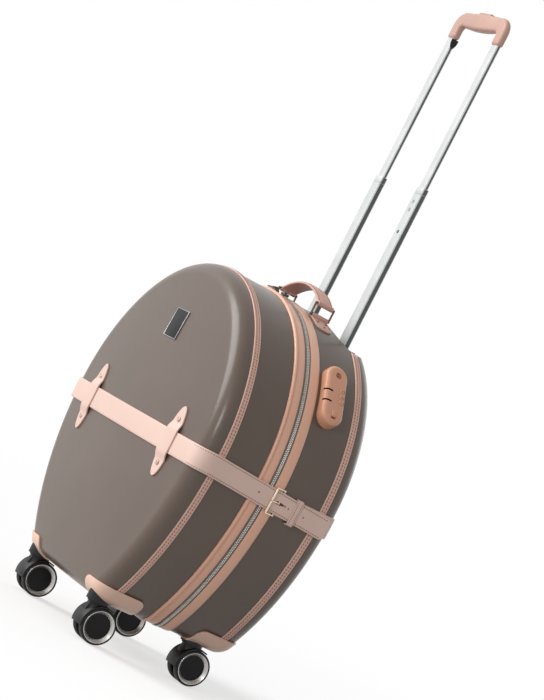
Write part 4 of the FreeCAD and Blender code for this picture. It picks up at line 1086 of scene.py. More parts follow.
@dataclass
class Shells:
    """The two grained shells, their linings and the leather hinge strip."""

    hinge_reach: float = 24.0
    hinge_half_height: float = 60.0
    hinge_grow: tuple[float, float] = (2.75, 3.4)
    hinge_crown: float = 0.25
    hinge_cuts: int = 24

    def build(self) -> None:
        """Dresses the shells and models the linings and the hinge strip."""
        Fitter.dress(COVER, "lid_shell", "rear_shell")
        for half in Half:
            label, body = half.value
            Fitter.soften(f"{label}_lining", f"{label}_lining_cloth", body, LINING, width=0.4)
        self.hinge_strip()

    def hinge_strip(self) -> None:
        """Spins the hinge strip up the left side, across the joint between the halves."""
        low, high = self.hinge_grow
        drop = math.asin(self.hinge_half_height / OUTLINE.side_radius)
        rise = math.asin(self.hinge_half_height / OUTLINE.top_radius)
        across = [self.hinge_reach * (2.0 * i / self.hinge_cuts - 1.0) for i in range(self.hinge_cuts + 1)]
        crown = [high - self.hinge_crown * (y / self.hinge_reach) ** 4 for y in across]
        points = []
        for y, grow in (*zip(across, crown), *((y, low) for y in reversed(across))):
            reach = OUTLINE.side_radius + grow
            points.append((OUTLINE.shift - reach * math.cos(drop), y,
                           OUTLINE.centre_height - reach * math.sin(drop)))
        strip = Bench.wire("hinge_strip_leather", points, closed=True)
        Bench.spin(8, drop, (OUTLINE.shift, 0.0, OUTLINE.centre_height), BACK_AXIS)
        Bench.spin(10, rise, OUTLINE.centre, BACK_AXIS)
        Bench.cap_ends(strip)
        Bench.seal()
        Fitter.fit(strip, "lid", BINDING_LEATHER, ("hinge_strip",), ride=False)
        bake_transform(strip)


@dataclass
class Interior:
    """What the linings carry: crossed packing straps in the rear half and a gathered pocket in the lid."""

    back: float = 80.75
    middle: float = 292.0
    reach: tuple[float, float] = (140.0, 150.0)
    width: float = 25.0
    thickness: float = 1.3
    slack: float = 1.5
    ripple: tuple[float, float] = (0.25, 9.0)
    crossing: float = 60.0
    cuts: int = 60
    clip_size: Point = (38.0, 7.0, 46.0)
    clip_corner: float = 8.0
    clip_lift: float = 3.2
    tab_size: Point = (44.0, 2.4, 36.0)
    tab_place: float = 0.93
    tab_corner: float = 7.0
    rivet: Rivet = Rivet(3.4, 1.6, ((1.36, 0.3),), 0.3)
    lining_depth: float = 4.4
    pocket_heights: tuple[float, float] = (106.0, 318.0)
    pocket_cuts: tuple[int, int] = (128, 36)
    pocket_inset: float = 42.0
    pocket_gap: float = 0.7
    pocket_swell: float = 9.0
    pocket_cloth: float = 0.9
    pocket_spare: tuple[float, float] = (1.12, 1.06)
    gathers: tuple[float, float] = (0.9, 46.0)
    hem_radius: float = 2.4

    def build(self) -> None:
        """Models the packing straps with their tabs and clip, and the lid's pocket."""
        self.straps()
        self.tabs()
        self.clip()
        self.pocket()

    def seat(self, along: float, sign: float) -> Matrix:
        """The place of a piece that was modelled flat.

        Args:
            along: The share of a strap's half length that it lies from the middle.
            sign: Which of the two straps it lies on.

        Returns:
            The matrix that takes it there.
        """
        across, rise = self.reach
        turn = Matrix.Rotation(sign * math.atan2(rise, across), 4, "Y")
        shift = Matrix.Translation((along * math.hypot(across, rise), 0.0, 0.0))
        return Matrix.Translation((0.0, self.back, self.middle)) @ turn @ shift

    def block(self, name: str, size: Point, corner: float) -> Piece:
        """Models a flat plate with round corners and a sunk field, around the origin.

        Args:
            name: The name of the plate.
            size: Its three sizes.
            corner: The radius of its corners.

        Returns:
            The plate, in object mode.
        """
        plate = Bench.bar(name, size, ORIGIN, axis=1, corner=corner)
        Bench.pick(plate, Part.FACES, faces_front)
        bpy.ops.mesh.inset(thickness=3.0, depth=0.0)
        bpy.ops.mesh.inset(thickness=0.8, depth=-0.5)
        Bench.clear()
        Bench.round_edges(plate, width=0.6)
        return plate

    def straps(self) -> None:
        """Models two crossed straps that hang a little slack."""
        half = math.hypot(*self.reach)
        height, length = self.ripple
        straps = []
        for layer, sign in enumerate(BOTH):
            strap = Bench.cube(f"packing_strap_{layer}", (2.0 * half, self.thickness, self.width))
            Bench.edit(strap)
            Bench.cut_across(half * (2.0 * step / self.cuts - 1.0) for step in range(1, self.cuts))
            Bench.clear()
            Bench.round_edges(strap, width=0.4)

            def hang(place: Vector) -> Vector:
                """Hangs a point of the strap, the second strap over the first.

                Args:
                    place: The point on the straight strap.

                Returns:
                    Its place as the strap hangs.
                """
                share = max(0.0, 1.0 - (place.x / half) ** 2)
                lift = self.thickness * (0.5 + 1.05 * layer * max(0.0, 1.0 - abs(place.x) / self.crossing))
                sag = share * (self.slack + height * math.sin(place.x / length))
                return Vector((place.x, place.y - lift - sag, place.z))

            Bench.reshape(strap, hang)
            strap.data.transform(self.seat(0.0, sign))
            straps.append(strap)
        Fitter.fit(Bench.join("packing_straps", straps), "rear_case", WEBBING)

    def tabs(self) -> None:
        """Models the leather tabs that hold the ends of the straps, each with a rivet."""
        thickness = self.tab_size[1]
        tabs = []
        rivets = []
        for sign in BOTH:
            for end in BOTH:
                tab = self.block("packing_tab", self.tab_size, self.tab_corner)
                tab.data.transform(Matrix.Translation((0.0, -thickness / 2.0, 0.0)))
                rivet = self.rivet.head("packing_rivet", (0.0, -thickness, 0.0))
                for piece, kept in ((tab, tabs), (rivet, rivets)):
                    piece.data.transform(self.seat(end * self.tab_place, sign))
                    kept.append(piece)
        Fitter.fit(Bench.join("packing_tabs", tabs), "rear_case", LEATHER)
        Fitter.fit(Bench.join("packing_tab_rivets", rivets), "rear_case", CHAMPAGNE)

    def clip(self) -> None:
        """Models the clip where the straps cross."""
        clip = self.block("packing_clip", self.clip_size, self.clip_corner)
        clip.data.transform(Matrix.Translation((0.0, self.back - self.clip_lift, self.middle)))
        Fitter.fit(clip, "rear_case", BLACK)

    def drape(self, place: Vector) -> Vector:
        """Lays a point of a flat square of two by two on the pocket's gathered form.

        Args:
            place: The point, from -1 to 1 across and upwards.

        Returns:
            Its place on the pocket.
        """
        low, high = self.pocket_heights
        depth, count = self.gathers
        rise = (place.y + 1.0) / 2.0
        z = low + rise * (high - low)
        x = place.x * (OUTLINE.half_width(z) - self.pocket_inset)
        ends = 1.0 - place.x ** 4
        fold = depth * rise ** 2 * math.sin(count * place.x) * ends
        away = self.pocket_gap + self.pocket_swell * (rise ** 0.8 * ends) + fold
        return Vector((x, OUTLINE.face(x, z, -self.lining_depth) + away, z))

    def pocket(self) -> None:
        """Models the lid's pocket: a sheet of lining cloth, gathered on a wavy elastic hem."""
        across, upwards = self.pocket_cuts
        hem = Bench.wire("lid_pocket_hem", [tuple(self.drape(Vector((2.0 * i / across - 1.0, 1.0, 0.0))))
                                            for i in range(across + 1)])
        Bench.take(hem)
        bpy.ops.object.convert(target="CURVE")
        hem.data.bevel_depth = self.hem_radius
        hem.data.bevel_resolution = 3
        hem.data.use_fill_caps = True
        bpy.ops.object.convert(target="MESH")
        Bench.clear()
        bpy.ops.mesh.primitive_grid_add(x_subdivisions=across, y_subdivisions=upwards, size=2.0)
        cloth = Bench.named("lid_pocket_cloth")
        Bench.reshape(cloth, self.drape)
        Bench.modify(cloth, "SOLIDIFY", thickness=self.pocket_cloth, offset=0.0)
        Fitter.fit(hem, "lid", WEBBING)
        Fitter.fit(cloth, "lid", LINING)


@dataclass
class Bindings:
    """The stitched bindings near the front and the back edge."""

    lid_start: float = -88.0
    rear_start: float = 82.0
    width: float = 10.0
    bead: float = 1.5
    valley: float = 1.15
    crown: float = 0.12
    stitch_inset: float = 3.0
    recess_floor: float = 498.2
    stitch_end: float = 496.2
    stitch: Stitch = Stitch(radius=0.55, length=2.7, pitch=4.6)

    def section(self, start: float) -> Section:
        """The section of a binding: two rolled edges and a slightly crowned middle.

        Args:
            start: The y of its front edge.

        Returns:
            The corners of the section.
        """
        half = [(0.0, 0.05), (0.0, 0.9), (0.35, 1.32), (0.9, self.bead), (1.5, self.bead - 0.08),
                (2.1, self.valley), (3.4, self.valley + 0.06)]
        left = [(start + y, grow) for y, grow in half]
        right = [(start + self.width - y, grow) for y, grow in reversed(half)]
        return [*left, (start + self.width / 2.0, self.valley + self.crown), *right]

    def build(self) -> None:
        """Models both bindings with two rows of stitches each."""
        for half, start in ((Half.LID, self.lid_start), (Half.REAR, self.rear_start)):
            label, body = half.value
            name = f"{label}_binding_stitches"
            band = OUTLINE.sweep(f"{label}_binding_leather", self.section(start))
            rows = [OUTLINE.row(lambda place: self.stitch.seed(f"{name}_{number}", place, Run.SIDEWAYS), y,
                                self.valley + self.crown, self.stitch.pitch)
                    for number, y in enumerate((start + self.stitch_inset, start + self.width - self.stitch_inset))]
            threads = Bench.join(name, rows)
            if half is Half.REAR:
                self.trim(band, threads)
            Fitter.fit(band, body, BINDING_LEATHER, (f"{label}_binding",))
            Fitter.fit(threads, body, BINDING_THREAD)

    def trim(self, band: Piece, threads: Piece) -> None:
        """Ends the rear binding at the floor of the trolley recess.

        Args:
            band: The binding's leather.
            threads: Its stitches.
        """
        Bench.edit(band)
        Bench.slice((0.0, 0.0, self.recess_floor), UP_AXIS)
        Bench.edit(threads)
        Bench.pick(threads, Part.VERTICES, lambda vertex: vertex.co.z > self.stitch_end)
        bpy.ops.mesh.select_linked()
        bpy.ops.mesh.delete(type="VERT")
        Bench.clear()


@dataclass
class Zip:
    """The zip: piped front trim, flat rear trim, woven tapes, teeth, sliders and pulls."""

    lid_reach: float = 22.0
    rear_reach: float = 20.0
    tape_reach: float = 5.0
    trim_gap: float = 0.05
    bead_width: float = 5.0
    bead_height: float = 3.2
    bead_foot: float = 0.3
    bead_steps: int = 10
    strip_height: float = 1.5
    tape_height: float = 1.1
    tooth: Point = (1.5, 1.9, 1.15)
    tooth_gap: float = 0.15
    tooth_pitch: float = 2.7
    tooth_root: float = 1.55

    def lid_section(self) -> Section:
        """The front trim: a round piped edge and a strip that runs back to the tape.

        Returns:
            The corners of the section.
        """
        half = self.bead_width / 2.0
        middle = -self.lid_reach + half
        bead = []
        for i in range(1, self.bead_steps):
            angle = math.pi * (1.0 - i / self.bead_steps)
            bead.append((middle + half * math.cos(angle),
                         self.bead_foot + (self.bead_height - self.bead_foot) * math.sin(angle)))
        near = -self.tape_reach - self.trim_gap
        top = self.strip_height
        return [(-self.lid_reach, 0.05), *bead, (middle + half + 0.3, top - 1.0), (middle + half + 1.6, top - 0.7),
                (-11.0, top - 0.2), (near - 0.7, top + 0.1), (near, top - 0.3), (near, 0.05)]

    def rear_section(self) -> Section:
        """The rear trim: a flat strip with a soft crown.

        Returns:
            The corners of the section.
        """
        near = self.tape_reach + self.trim_gap
        far = self.rear_reach
        top = self.strip_height
        return [(near, 0.05), (near, top - 0.3), (near + 0.7, top + 0.1), (near + 4.0, top + 0.35),
                (far - 4.0, top + 0.45), (far - 1.0, top + 0.2), (far - 0.2, top - 0.4), (far, 0.6), (far, 0.05)]

    def tape_section(self, sign: float) -> Section:
        """One tape, from its trim to the teeth.

        Args:
            sign: Which side of the zip it lies on.

        Returns:
            The corners of the section.
        """
        far = self.tape_reach
        top = self.tape_height
        return [(sign * y, grow) for y, grow in ((far, 0.05), (far, top - 0.2), (far - 0.4, top), (2.4, top),
                                                 (0.5, top - 0.15), (0.3, top - 0.4), (0.3, 0.05))]

    def tooth_seed(self, name: str, place: Point) -> Piece:
        """Models one tooth with a waisted head.

        Args:
            name: The name of the row.
            place: The middle of the tooth.

        Returns:
            The new row, in edit mode with the tooth selected.
        """
        row = Bench.cube(name, self.tooth, place)
        Bench.edit(row)
        Bench.pick(row, Part.FACES, lambda face: face.normal.z < -SQUARE)
        bpy.ops.mesh.inset(thickness=0.25, depth=0.2)
        Bench.select_all()
        return row

    def build(self) -> None:
        """Models the trims, tapes and teeth, and softens the sliders and pulls."""
        Fitter.fit(OUTLINE.sweep("lid_zip_piping", self.lid_section()), "lid", PIPING, ("lid_zip_trim",))
        Fitter.fit(OUTLINE.sweep("rear_zip_strip", self.rear_section()), "rear_case", PIPING, ("rear_zip_trim",))
        for half, sign, lead in ((Half.LID, -1.0, 0.25), (Half.REAR, 1.0, 0.75)):
            label, body = half.value
            tape = OUTLINE.sweep(f"{label}_zip_tape_weave", self.tape_section(sign))
            Fitter.fit(tape, body, TAPE, (f"{label}_zip_tape",))
            teeth = OUTLINE.row(lambda place: self.tooth_seed(f"{label}_zip_teeth", place),
                                sign * (self.tooth_gap + self.tooth[1] / 2.0), self.tooth_root, self.tooth_pitch, lead)
            Fitter.fit(teeth, body, BRIGHT, smooth=20.0)
        for side in Side:
            label = side.value[0]
            Fitter.soften(f"{label}_zip_slider", f"{label}_slider_metal", f"{label}_slider", BRONZE, width=0.5)
            Fitter.soften(f"{label}_zip_pull", f"{label}_pull_metal", f"{label}_pull", BRONZE, width=0.45)


@dataclass
class FrontStrap:
    """The strap across the front and along the right side, with its keepers and rivets."""

    height: float = 284.0
    width: float = 30.0
    thickness: float = 2.8
    lift: float = 2.9
    face_gap: float = 0.25
    edge: float = 24.0
    end: float = -30.0
    tail: float = 105.0
    tail_cut: float = 8.0
    slope: float = 3.6
    slope_start: float = -90.8
    binding_end: float = 80.0
    tail_rise: float = 2.0
    stitch_edge: float = 2.6
    stitch_sink: float = 0.1
    hole_places: tuple[float, ...] = (-14.0, 36.0, 62.0)
    hole_radius: float = 1.3
    slots: tuple[tuple[float, float, float, float], ...] = ((14.6, 24.4, 4.2, 0.0), (24.0, 31.8, 2.7, 0.3))
    tool_length: float = 20.0
    keeper_spacing: float = 139.0
    keeper_length: float = 100.0
    keeper_width: float = 29.0
    keeper_leaf: tuple[float, float] = (2.6, 0.54)
    keeper_slope: float = 13.0
    keeper_gap: float = 0.1
    keeper_thickness: float = 2.0
    rivet_offset: float = 31.0
    rivet: Rivet = Rivet(3.8, 1.2, ((1.71, 0.25), (0.76, -0.3)), 0.35)
    stitch: Stitch = Stitch(radius=0.4, length=2.6, pitch=3.8)

    @property
    def side(self) -> float:
        """The x of the strap's inner face on the right side, at its own height."""
        return OUTLINE.half_width(self.height) + self.lift

    @property
    def bend(self) -> tuple[float, float, float]:
        """The bend at the right edge.

        Returns:
            The x and the y of its centre, and its angle.
        """
        x = self.side - self.edge
        reach = OUTLINE.dome_radius + self.face_gap - self.edge
        y = OUTLINE.dome_centre - math.sqrt(reach ** 2 - x ** 2)
        return x, y, QUARTER_TURN - math.asin(x / OUTLINE.dome_radius)

    def settle(self, place: Vector) -> Vector:
        """Lays a point of the straight strap on the curved side, with its slope and its raised tail.

        Args:
            place: The point on the straight strap.

        Returns:
            Its place on the case.
        """
        x, y, z = place
        weight = clamp((abs(x) - self.bend[0]) / self.edge)
        if x > 0.0 and y > self.slope_start:
            z -= (y - self.slope_start) * math.tan(math.radians(self.slope)) * weight
        sign = math.copysign(1.0, x)
        x += sign * weight * (OUTLINE.half_width(z) - OUTLINE.half_width(self.height))
        if sign > 0.0 and y > self.binding_end:
            x += self.tail_rise * ease((y - self.binding_end) / (self.tail - self.binding_end))
        return Vector((x, y, z))

    def section(self) -> Section:
        """The section of the strap, as height from its middle and distance out from its inner face.

        Returns:
            The corners of the section.
        """
        half = self.width / 2.0
        top = self.thickness
        outer = [(-half, 0.5), (-half, top - 1.1), (-half + 0.35, top - 0.55), (-half + 1.1, top - 0.25),
                 (-half + 3.8, top - 0.22), (-half / 2.0, top - 0.06), (0.0, top)]
        return [(-half + 0.5, 0.0), *mirrored(outer), (half - 0.5, 0.0), (0.0, 0.0)]

    def path(self) -> None:
        """Takes what is selected from the left end round the front to the tail, in edit mode."""
        x, y, turn = self.bend
        Bench.extrude_along((0.0, y - self.end, 0.0), 14)
        Bench.spin(14, turn, (-x, y, 0.0), UP_AXIS)
        Bench.spin(72, math.pi - 2.0 * turn, (0.0, OUTLINE.dome_centre, 0.0), UP_AXIS)
        Bench.spin(14, turn, (x, y, 0.0), UP_AXIS)
        Bench.extrude_along((0.0, self.tail - y, 0.0), 48)

    def strap(self) -> Piece:
        """Models the strap with its cut tail, punched holes and prong slot.

        Returns:
            The strap.
        """
        points = [(-self.side - out, self.end, self.height + rise) for rise, out in self.section()]
        strap = Bench.wire("front_strap_leather", points, closed=True)
        self.path()
        Bench.cap_ends(strap)
        Bench.close_up()
        for sign in BOTH:
            Bench.slice((0.0, self.tail, self.height + sign * (self.width / 2.0 - self.tail_cut)), (0.0, 1.0, sign))
        Bench.clear()
        for place in self.hole_places:
            Bench.subtract(strap, Bench.cylinder("hole_tool", 20, (self.hole_radius, self.tool_length),
                                                 (self.side, place, self.height), FACING_SIDE))
        for start, stop, width, rise in self.slots:
            Bench.subtract(strap, Bench.cube("slot_tool", (self.tool_length, stop - start, width),
                                             (self.side, (start + stop) / 2.0, self.height + rise)))
        Bench.reshape(strap, self.settle)
        return strap

    def stitches(self) -> Piece:
        """Sews both edges of the strap, from the right bend to the tail.

        Returns:
            The sewing.
        """
        x, y, turn = self.bend
        out = self.edge + self.thickness - self.stitch_sink
        inset = self.width / 2.0 - self.stitch_edge

        def repeat(row: Piece) -> None:
            """Repeats a stitch round the bend and along the side.

            Args:
                row: The row.
            """
            Bench.spin(round(turn * out / self.stitch.pitch), -turn, (x, y, 0.0), UP_AXIS, copies=True)
            Bench.pick(row, Part.VERTICES, lambda vertex: vertex.co.x > x + out - 1.5)
            Bench.copy_along((0.0, self.stitch.pitch, 0.0),
                             int((self.tail - self.tail_cut - y) / self.stitch.pitch))

        places = [(x + out, y, self.height + sign * inset) for sign in BOTH]
        threads = self.stitch.rows("front_strap_stitches", places, Run.BACKWARDS, repeat)
        Bench.reshape(threads, self.settle)
        return threads

    def keeper(self, label: str, middle: float) -> Piece:
        """Models one leaf-shaped keeper that arches over the strap.

        Args:
            label: Its side.
            middle: The x of its middle.

        Returns:
            The keeper.
        """
        Bench.clear()
        bpy.ops.mesh.primitive_grid_add(x_subdivisions=16, y_subdivisions=72, size=2.0)
        keeper = Bench.named(f"{label}_keeper_leather")
        over = self.face_gap + self.thickness + 0.15
        reach = self.width / 2.0 + self.keeper_slope
        point, swell = self.keeper_leaf

        def lay(place: Vector) -> Vector:
            """Lays a point of a flat square of two by two on the leaf.

            Args:
                place: The point, from -1 to 1 across and along.

            Returns:
                Its place on the leaf.
            """
            along = self.keeper_length / 2.0 * place.y
            side = self.keeper_width / 2.0 * (1.0 - min(1.0, abs(place.y)) ** point) ** swell
            rise = self.keeper_gap + over * ease(clamp((reach - abs(along)) / self.keeper_slope))
            x = middle + place.x * side
            z = self.height + along
            return Vector((x, OUTLINE.face(x, z, rise), z))

        Bench.reshape(keeper, lay)
        Bench.edit(keeper)
        Bench.seal(0.01)
        if sum(face.normal.y for face in keeper.data.polygons) > 0.0:
            keeper.data.flip_normals()
        Bench.modify(keeper, "SOLIDIFY", thickness=self.keeper_thickness, offset=1.0)
        Bench.round_edges(keeper, width=0.6, segments=3, angle=50.0)
        return keeper

    def stud(self, label: str, x: float, z: float) -> Piece:
        """Models one rivet head on a keeper, tilted to the domed front.

        Args:
            label: Its place.
            x: The x of its middle.
            z: The height of its middle.

        Returns:
            The head.
        """
        lean = math.atan2(z - OUTLINE.centre_height, OUTLINE.dome_radius)
        seat = OUTLINE.face(x, z, self.keeper_thickness + self.keeper_gap)
        return self.rivet.head(f"{label}_rivet", (x, seat - self.rivet.depth / 2.0, z),
                               (QUARTER_TURN - lean, 0.0, -x / OUTLINE.dome_radius))

    def build(self) -> None:
        """Models the strap, its stitching, the keepers and the rivets."""
        Fitter.fit(self.strap(), "lid", LEATHER, ("front_strap",))
        Fitter.fit(self.stitches(), "lid", THREAD)
        keepers = []
        rivets = []
        for side in Side:
            label, sign = side.value
            x = sign * self.keeper_spacing
            keepers.append(self.keeper(label, x))
            for level, rise in (("upper", self.rivet_offset), ("lower", -self.rivet_offset)):
                rivets.append(self.stud(f"{label}_{level}", x, self.height + rise))
        leaves = Bench.join("strap_keeper_leaves", keepers)
        heads = Bench.join("keeper_rivet_heads", rivets)
        Fitter.fit(leaves, "lid", LEATHER, ("strap_keepers",))
        Fitter.fit(heads, "lid", RIVET, ("lid_rivets",))


@dataclass
class BackStrap:
    """The strap round the back that carries the buckle, and the leather loop for the tail."""

    height: float = 275.4
    width: float = 30.0
    thickness: float = 2.3
    lift: float = 0.35
    edge: float = 24.0
    back: float = 116.0
    start: float = 23.7
    end: float = 30.0
    notch_end: float = 29.6
    notch_width: float = 4.4
    notch_spare: float = 4.0
    tool_length: float = 20.0
    prong_height: float = 277.26
    binding: tuple[float, float] = (81.0, 93.0)
    binding_rise: float = 1.4
    binding_slope: float = 5.0
    loop_start: float = 43.5
    loop_width: float = 9.5
    loop_height: float = 7.4
    loop_half: float = 17.6
    loop_thickness: float = 1.6
    loop_bend: float = 2.2
    loop_lip: float = 0.35
    loop_place: float = 274.6
    sewing_edges: tuple[float, float] = (3.0, 1.7)
    roller_place: Point = (7.5, 7.0, 277.26)
    roller_radius: float = 1.8
    roller_half: float = 16.4
    stitch: Stitch = Stitch(radius=0.35, length=2.2, pitch=3.2)

    @property
    def side(self) -> float:
        """The x of the strap's inner face on the right side."""
        return OUTLINE.half_width(self.height) + self.lift

    def settle(self, place: Vector) -> Vector:
        """Lays a point of the straight strap on the curved side and over the rear binding.

        Args:
            place: The point on the straight strap.

        Returns:
            Its place on the case.
        """
        x, y, z = place
        weight = clamp((abs(x) - self.side + self.edge) / self.edge)
        sign = math.copysign(1.0, x)
        x += sign * weight * (OUTLINE.half_width(z) - OUTLINE.half_width(self.height))
        low, high = self.binding
        share = clamp(min(y - low + self.binding_slope, high + self.binding_slope - y) / self.binding_slope)
        if abs(x) > self.side - 4.0:
            x += sign * self.binding_rise * ease(share)
        return Vector((x, y, z))

    def build(self) -> None:
        """Fits the strap, the loop and the roller, and dresses the buckle."""
        Fitter.fit(self.strap(), "rear_case", LEATHER, ("buckle_strap",))
        Fitter.fit(self.loop(), "rear_case", LEATHER, ("strap_loop",))
        Fitter.fit(self.loop_sewing(), "rear_case", THREAD)
        Fitter.fit(self.roller(), "rear_case", CHAMPAGNE)
        Fitter.dress(CHAMPAGNE, "buckle_frame", "buckle_prong")

    def strap(self) -> Piece:
        """Models the strap from the buckle round the back to the left side.

        Returns:
            The strap.
        """
        half = self.width / 2.0
        top = self.thickness
        outer = [(-half, 0.4), (-half, top - 0.9), (-half + 0.4, top - 0.4), (-half + 1.2, top - 0.12),
                 (-half / 2.0, top - 0.04), (0.0, top)]
        section = [(-half + 0.4, 0.0), *mirrored(outer), (half - 0.4, 0.0)]
        points = [(self.side + out, self.start, self.height + rise) for rise, out in section]
        strap = Bench.wire("back_strap_leather", points, closed=True)
        x = self.side - self.edge
        y = self.back + self.lift - self.edge
        Bench.extrude_along((0.0, y - self.start, 0.0), 36)
        Bench.spin(14, QUARTER_TURN, (x, y, 0.0), UP_AXIS)
        Bench.extrude_along((-2.0 * x, 0.0, 0.0), 40)
        Bench.spin(14, QUARTER_TURN, (-x, y, 0.0), UP_AXIS)
        Bench.extrude_along((0.0, self.end - y, 0.0), 30)
        Bench.cap_ends(strap)
        Bench.seal()
        reach = self.notch_end - self.start + self.notch_spare
        Bench.subtract(strap, Bench.cube("notch_tool", (self.tool_length, reach, self.notch_width),
                                         (self.side, self.notch_end - reach / 2.0, self.prong_height)))
        Bench.reshape(strap, self.settle)
        return strap

    def loop(self) -> Piece:
        """Models the loop as a band bent over the straps, and seats it on the side.

        Returns:
            The loop.
        """
        lip = self.loop_lip
        near, far = self.loop_start, self.loop_start + self.loop_width
        outer = self.loop_half + self.loop_thickness / 2.0
        inner = outer - self.loop_thickness
        section = [(outer, near + lip), (outer, far - lip), (outer - lip, far), (inner + lip, far),
                   (inner, far - lip), (inner, near + lip), (inner + lip, near), (outer - lip, near)]
        loop = Bench.wire("strap_loop_leather", [(x, y, 0.0) for x, y in section], closed=True)
        centre = inner - self.loop_bend
        height = self.loop_height - self.loop_thickness - self.loop_bend
        Bench.extrude_along((0.0, 0.0, height), 3)
        Bench.spin(8, QUARTER_TURN, (centre, 0.0, height), FORWARD_AXIS)
        Bench.extrude_along((-2.0 * centre, 0.0, 0.0), 10)
        Bench.spin(8, QUARTER_TURN, (-centre, 0.0, height), FORWARD_AXIS)
        Bench.extrude_along((0.0, 0.0, -height), 3)
        Bench.cap_ends(loop)
        Bench.seal()
        loop.data.transform(self.seat(self.loop_place))
        return loop

    def loop_sewing(self) -> Piece:
        """Sews the two edges of the loop.

        Returns:
            The sewing.
        """
        end, edge = self.sewing_edges
        span = self.loop_half - end
        count = int(2.0 * span / self.stitch.pitch)
        places = [(-span, self.loop_start + y, self.loop_height) for y in (edge, self.loop_width - edge)]
        threads = self.stitch.rows("loop_stitches", places, Run.SIDEWAYS,
                                   lambda row: Bench.copy_along((2.0 * span / count, 0.0, 0.0), count))
        threads.data.transform(self.seat(self.loop_place))
        return threads

    def roller(self) -> Piece:
        """Models the roller on the front bar of the buckle.

        Returns:
            The roller.
        """
        y, rise, height = self.roller_place
        roller = Bench.cylinder("buckle_roller", 24, (self.roller_radius, 2.0 * self.roller_half), (0.0, y, rise),
                                FACING_SIDE)
        Bench.round_edges(roller, width=0.4, segments=3)
        roller.data.transform(self.seat(height))
        return roller

    def seat(self, height: float) -> Matrix:
        """The place of a piece that was modelled flat, on the right side.

        Args:
            height: The height of its place.

        Returns:
            The matrix that takes it there.
        """
        lean = math.asin((OUTLINE.centre_height - height) / OUTLINE.side_radius)
        place = Matrix.Translation((OUTLINE.half_width(height), 0.0, height))
        return place @ Matrix.Rotation(QUARTER_TURN + lean, 4, "Y")


@dataclass
class Badge:
    """The bare badge plate: black enamel in a bright raised rim."""

    width: float = 38.0
    height: float = 42.0
    rise: float = 426.0
    thickness: float = 2.0
    sink: float = 0.5
    rim: float = 0.9

    def hollow(self, plate: Piece) -> None:
        """Opens a plate from front to back, so that only its rim stays.

        Args:
            plate: The plate.
        """
        Bench.edit(plate)
        for sign in BOTH:
            Bench.pick(plate, Part.FACES, lambda face: sign * face.normal.y > SQUARE)
            bpy.ops.mesh.inset(thickness=self.rim)
            bpy.ops.mesh.delete(type="FACE")
        Bench.pick(plate, Part.EDGES, is_open)
        bpy.ops.mesh.bridge_edge_loops()
        Bench.seal()

    def build(self) -> None:
        """Models the rim and the enamel field, and tilts them to the domed front."""
        lean = math.asin((self.rise - OUTLINE.centre_height) / OUTLINE.dome_radius)
        seat = Matrix.Translation((0.0, OUTLINE.face(0.0, self.rise), self.rise)) @ Matrix.Rotation(-lean, 4, "X")
        for name, margin, depth, finish, replaced in (
                ("badge_enamel", self.rim, self.thickness - self.sink, BADGE_BLACK, ("badge_plate",)),
                ("badge_rim", 0.0, self.thickness, STEEL, ())):
            plate = Bench.cube(name, (self.width - 2.0 * margin, depth, self.height - 2.0 * margin),
                               (0.0, -depth / 2.0, 0.0))
            if not margin:
                self.hollow(plate)
            Bench.round_edges(plate, width=0.45, segments=3)
            plate.data.transform(seat)
            Fitter.fit(plate, "lid", finish, replaced)


@dataclass
class CornerGuards:
    """The four corner guards and the plates that carry the casters."""

    rounding: float = 0.9

    def build(self) -> None:
        """Softens the guards and dresses the plates."""
        for half in Half:
            label, body = half.value
            Fitter.soften(f"{label}_corner_guards", f"{label}_guard_skins", body, GUARD, self.rounding, segments=3)
        Fitter.dress(BLACK, "front_caster_plates", "rear_caster_plates")


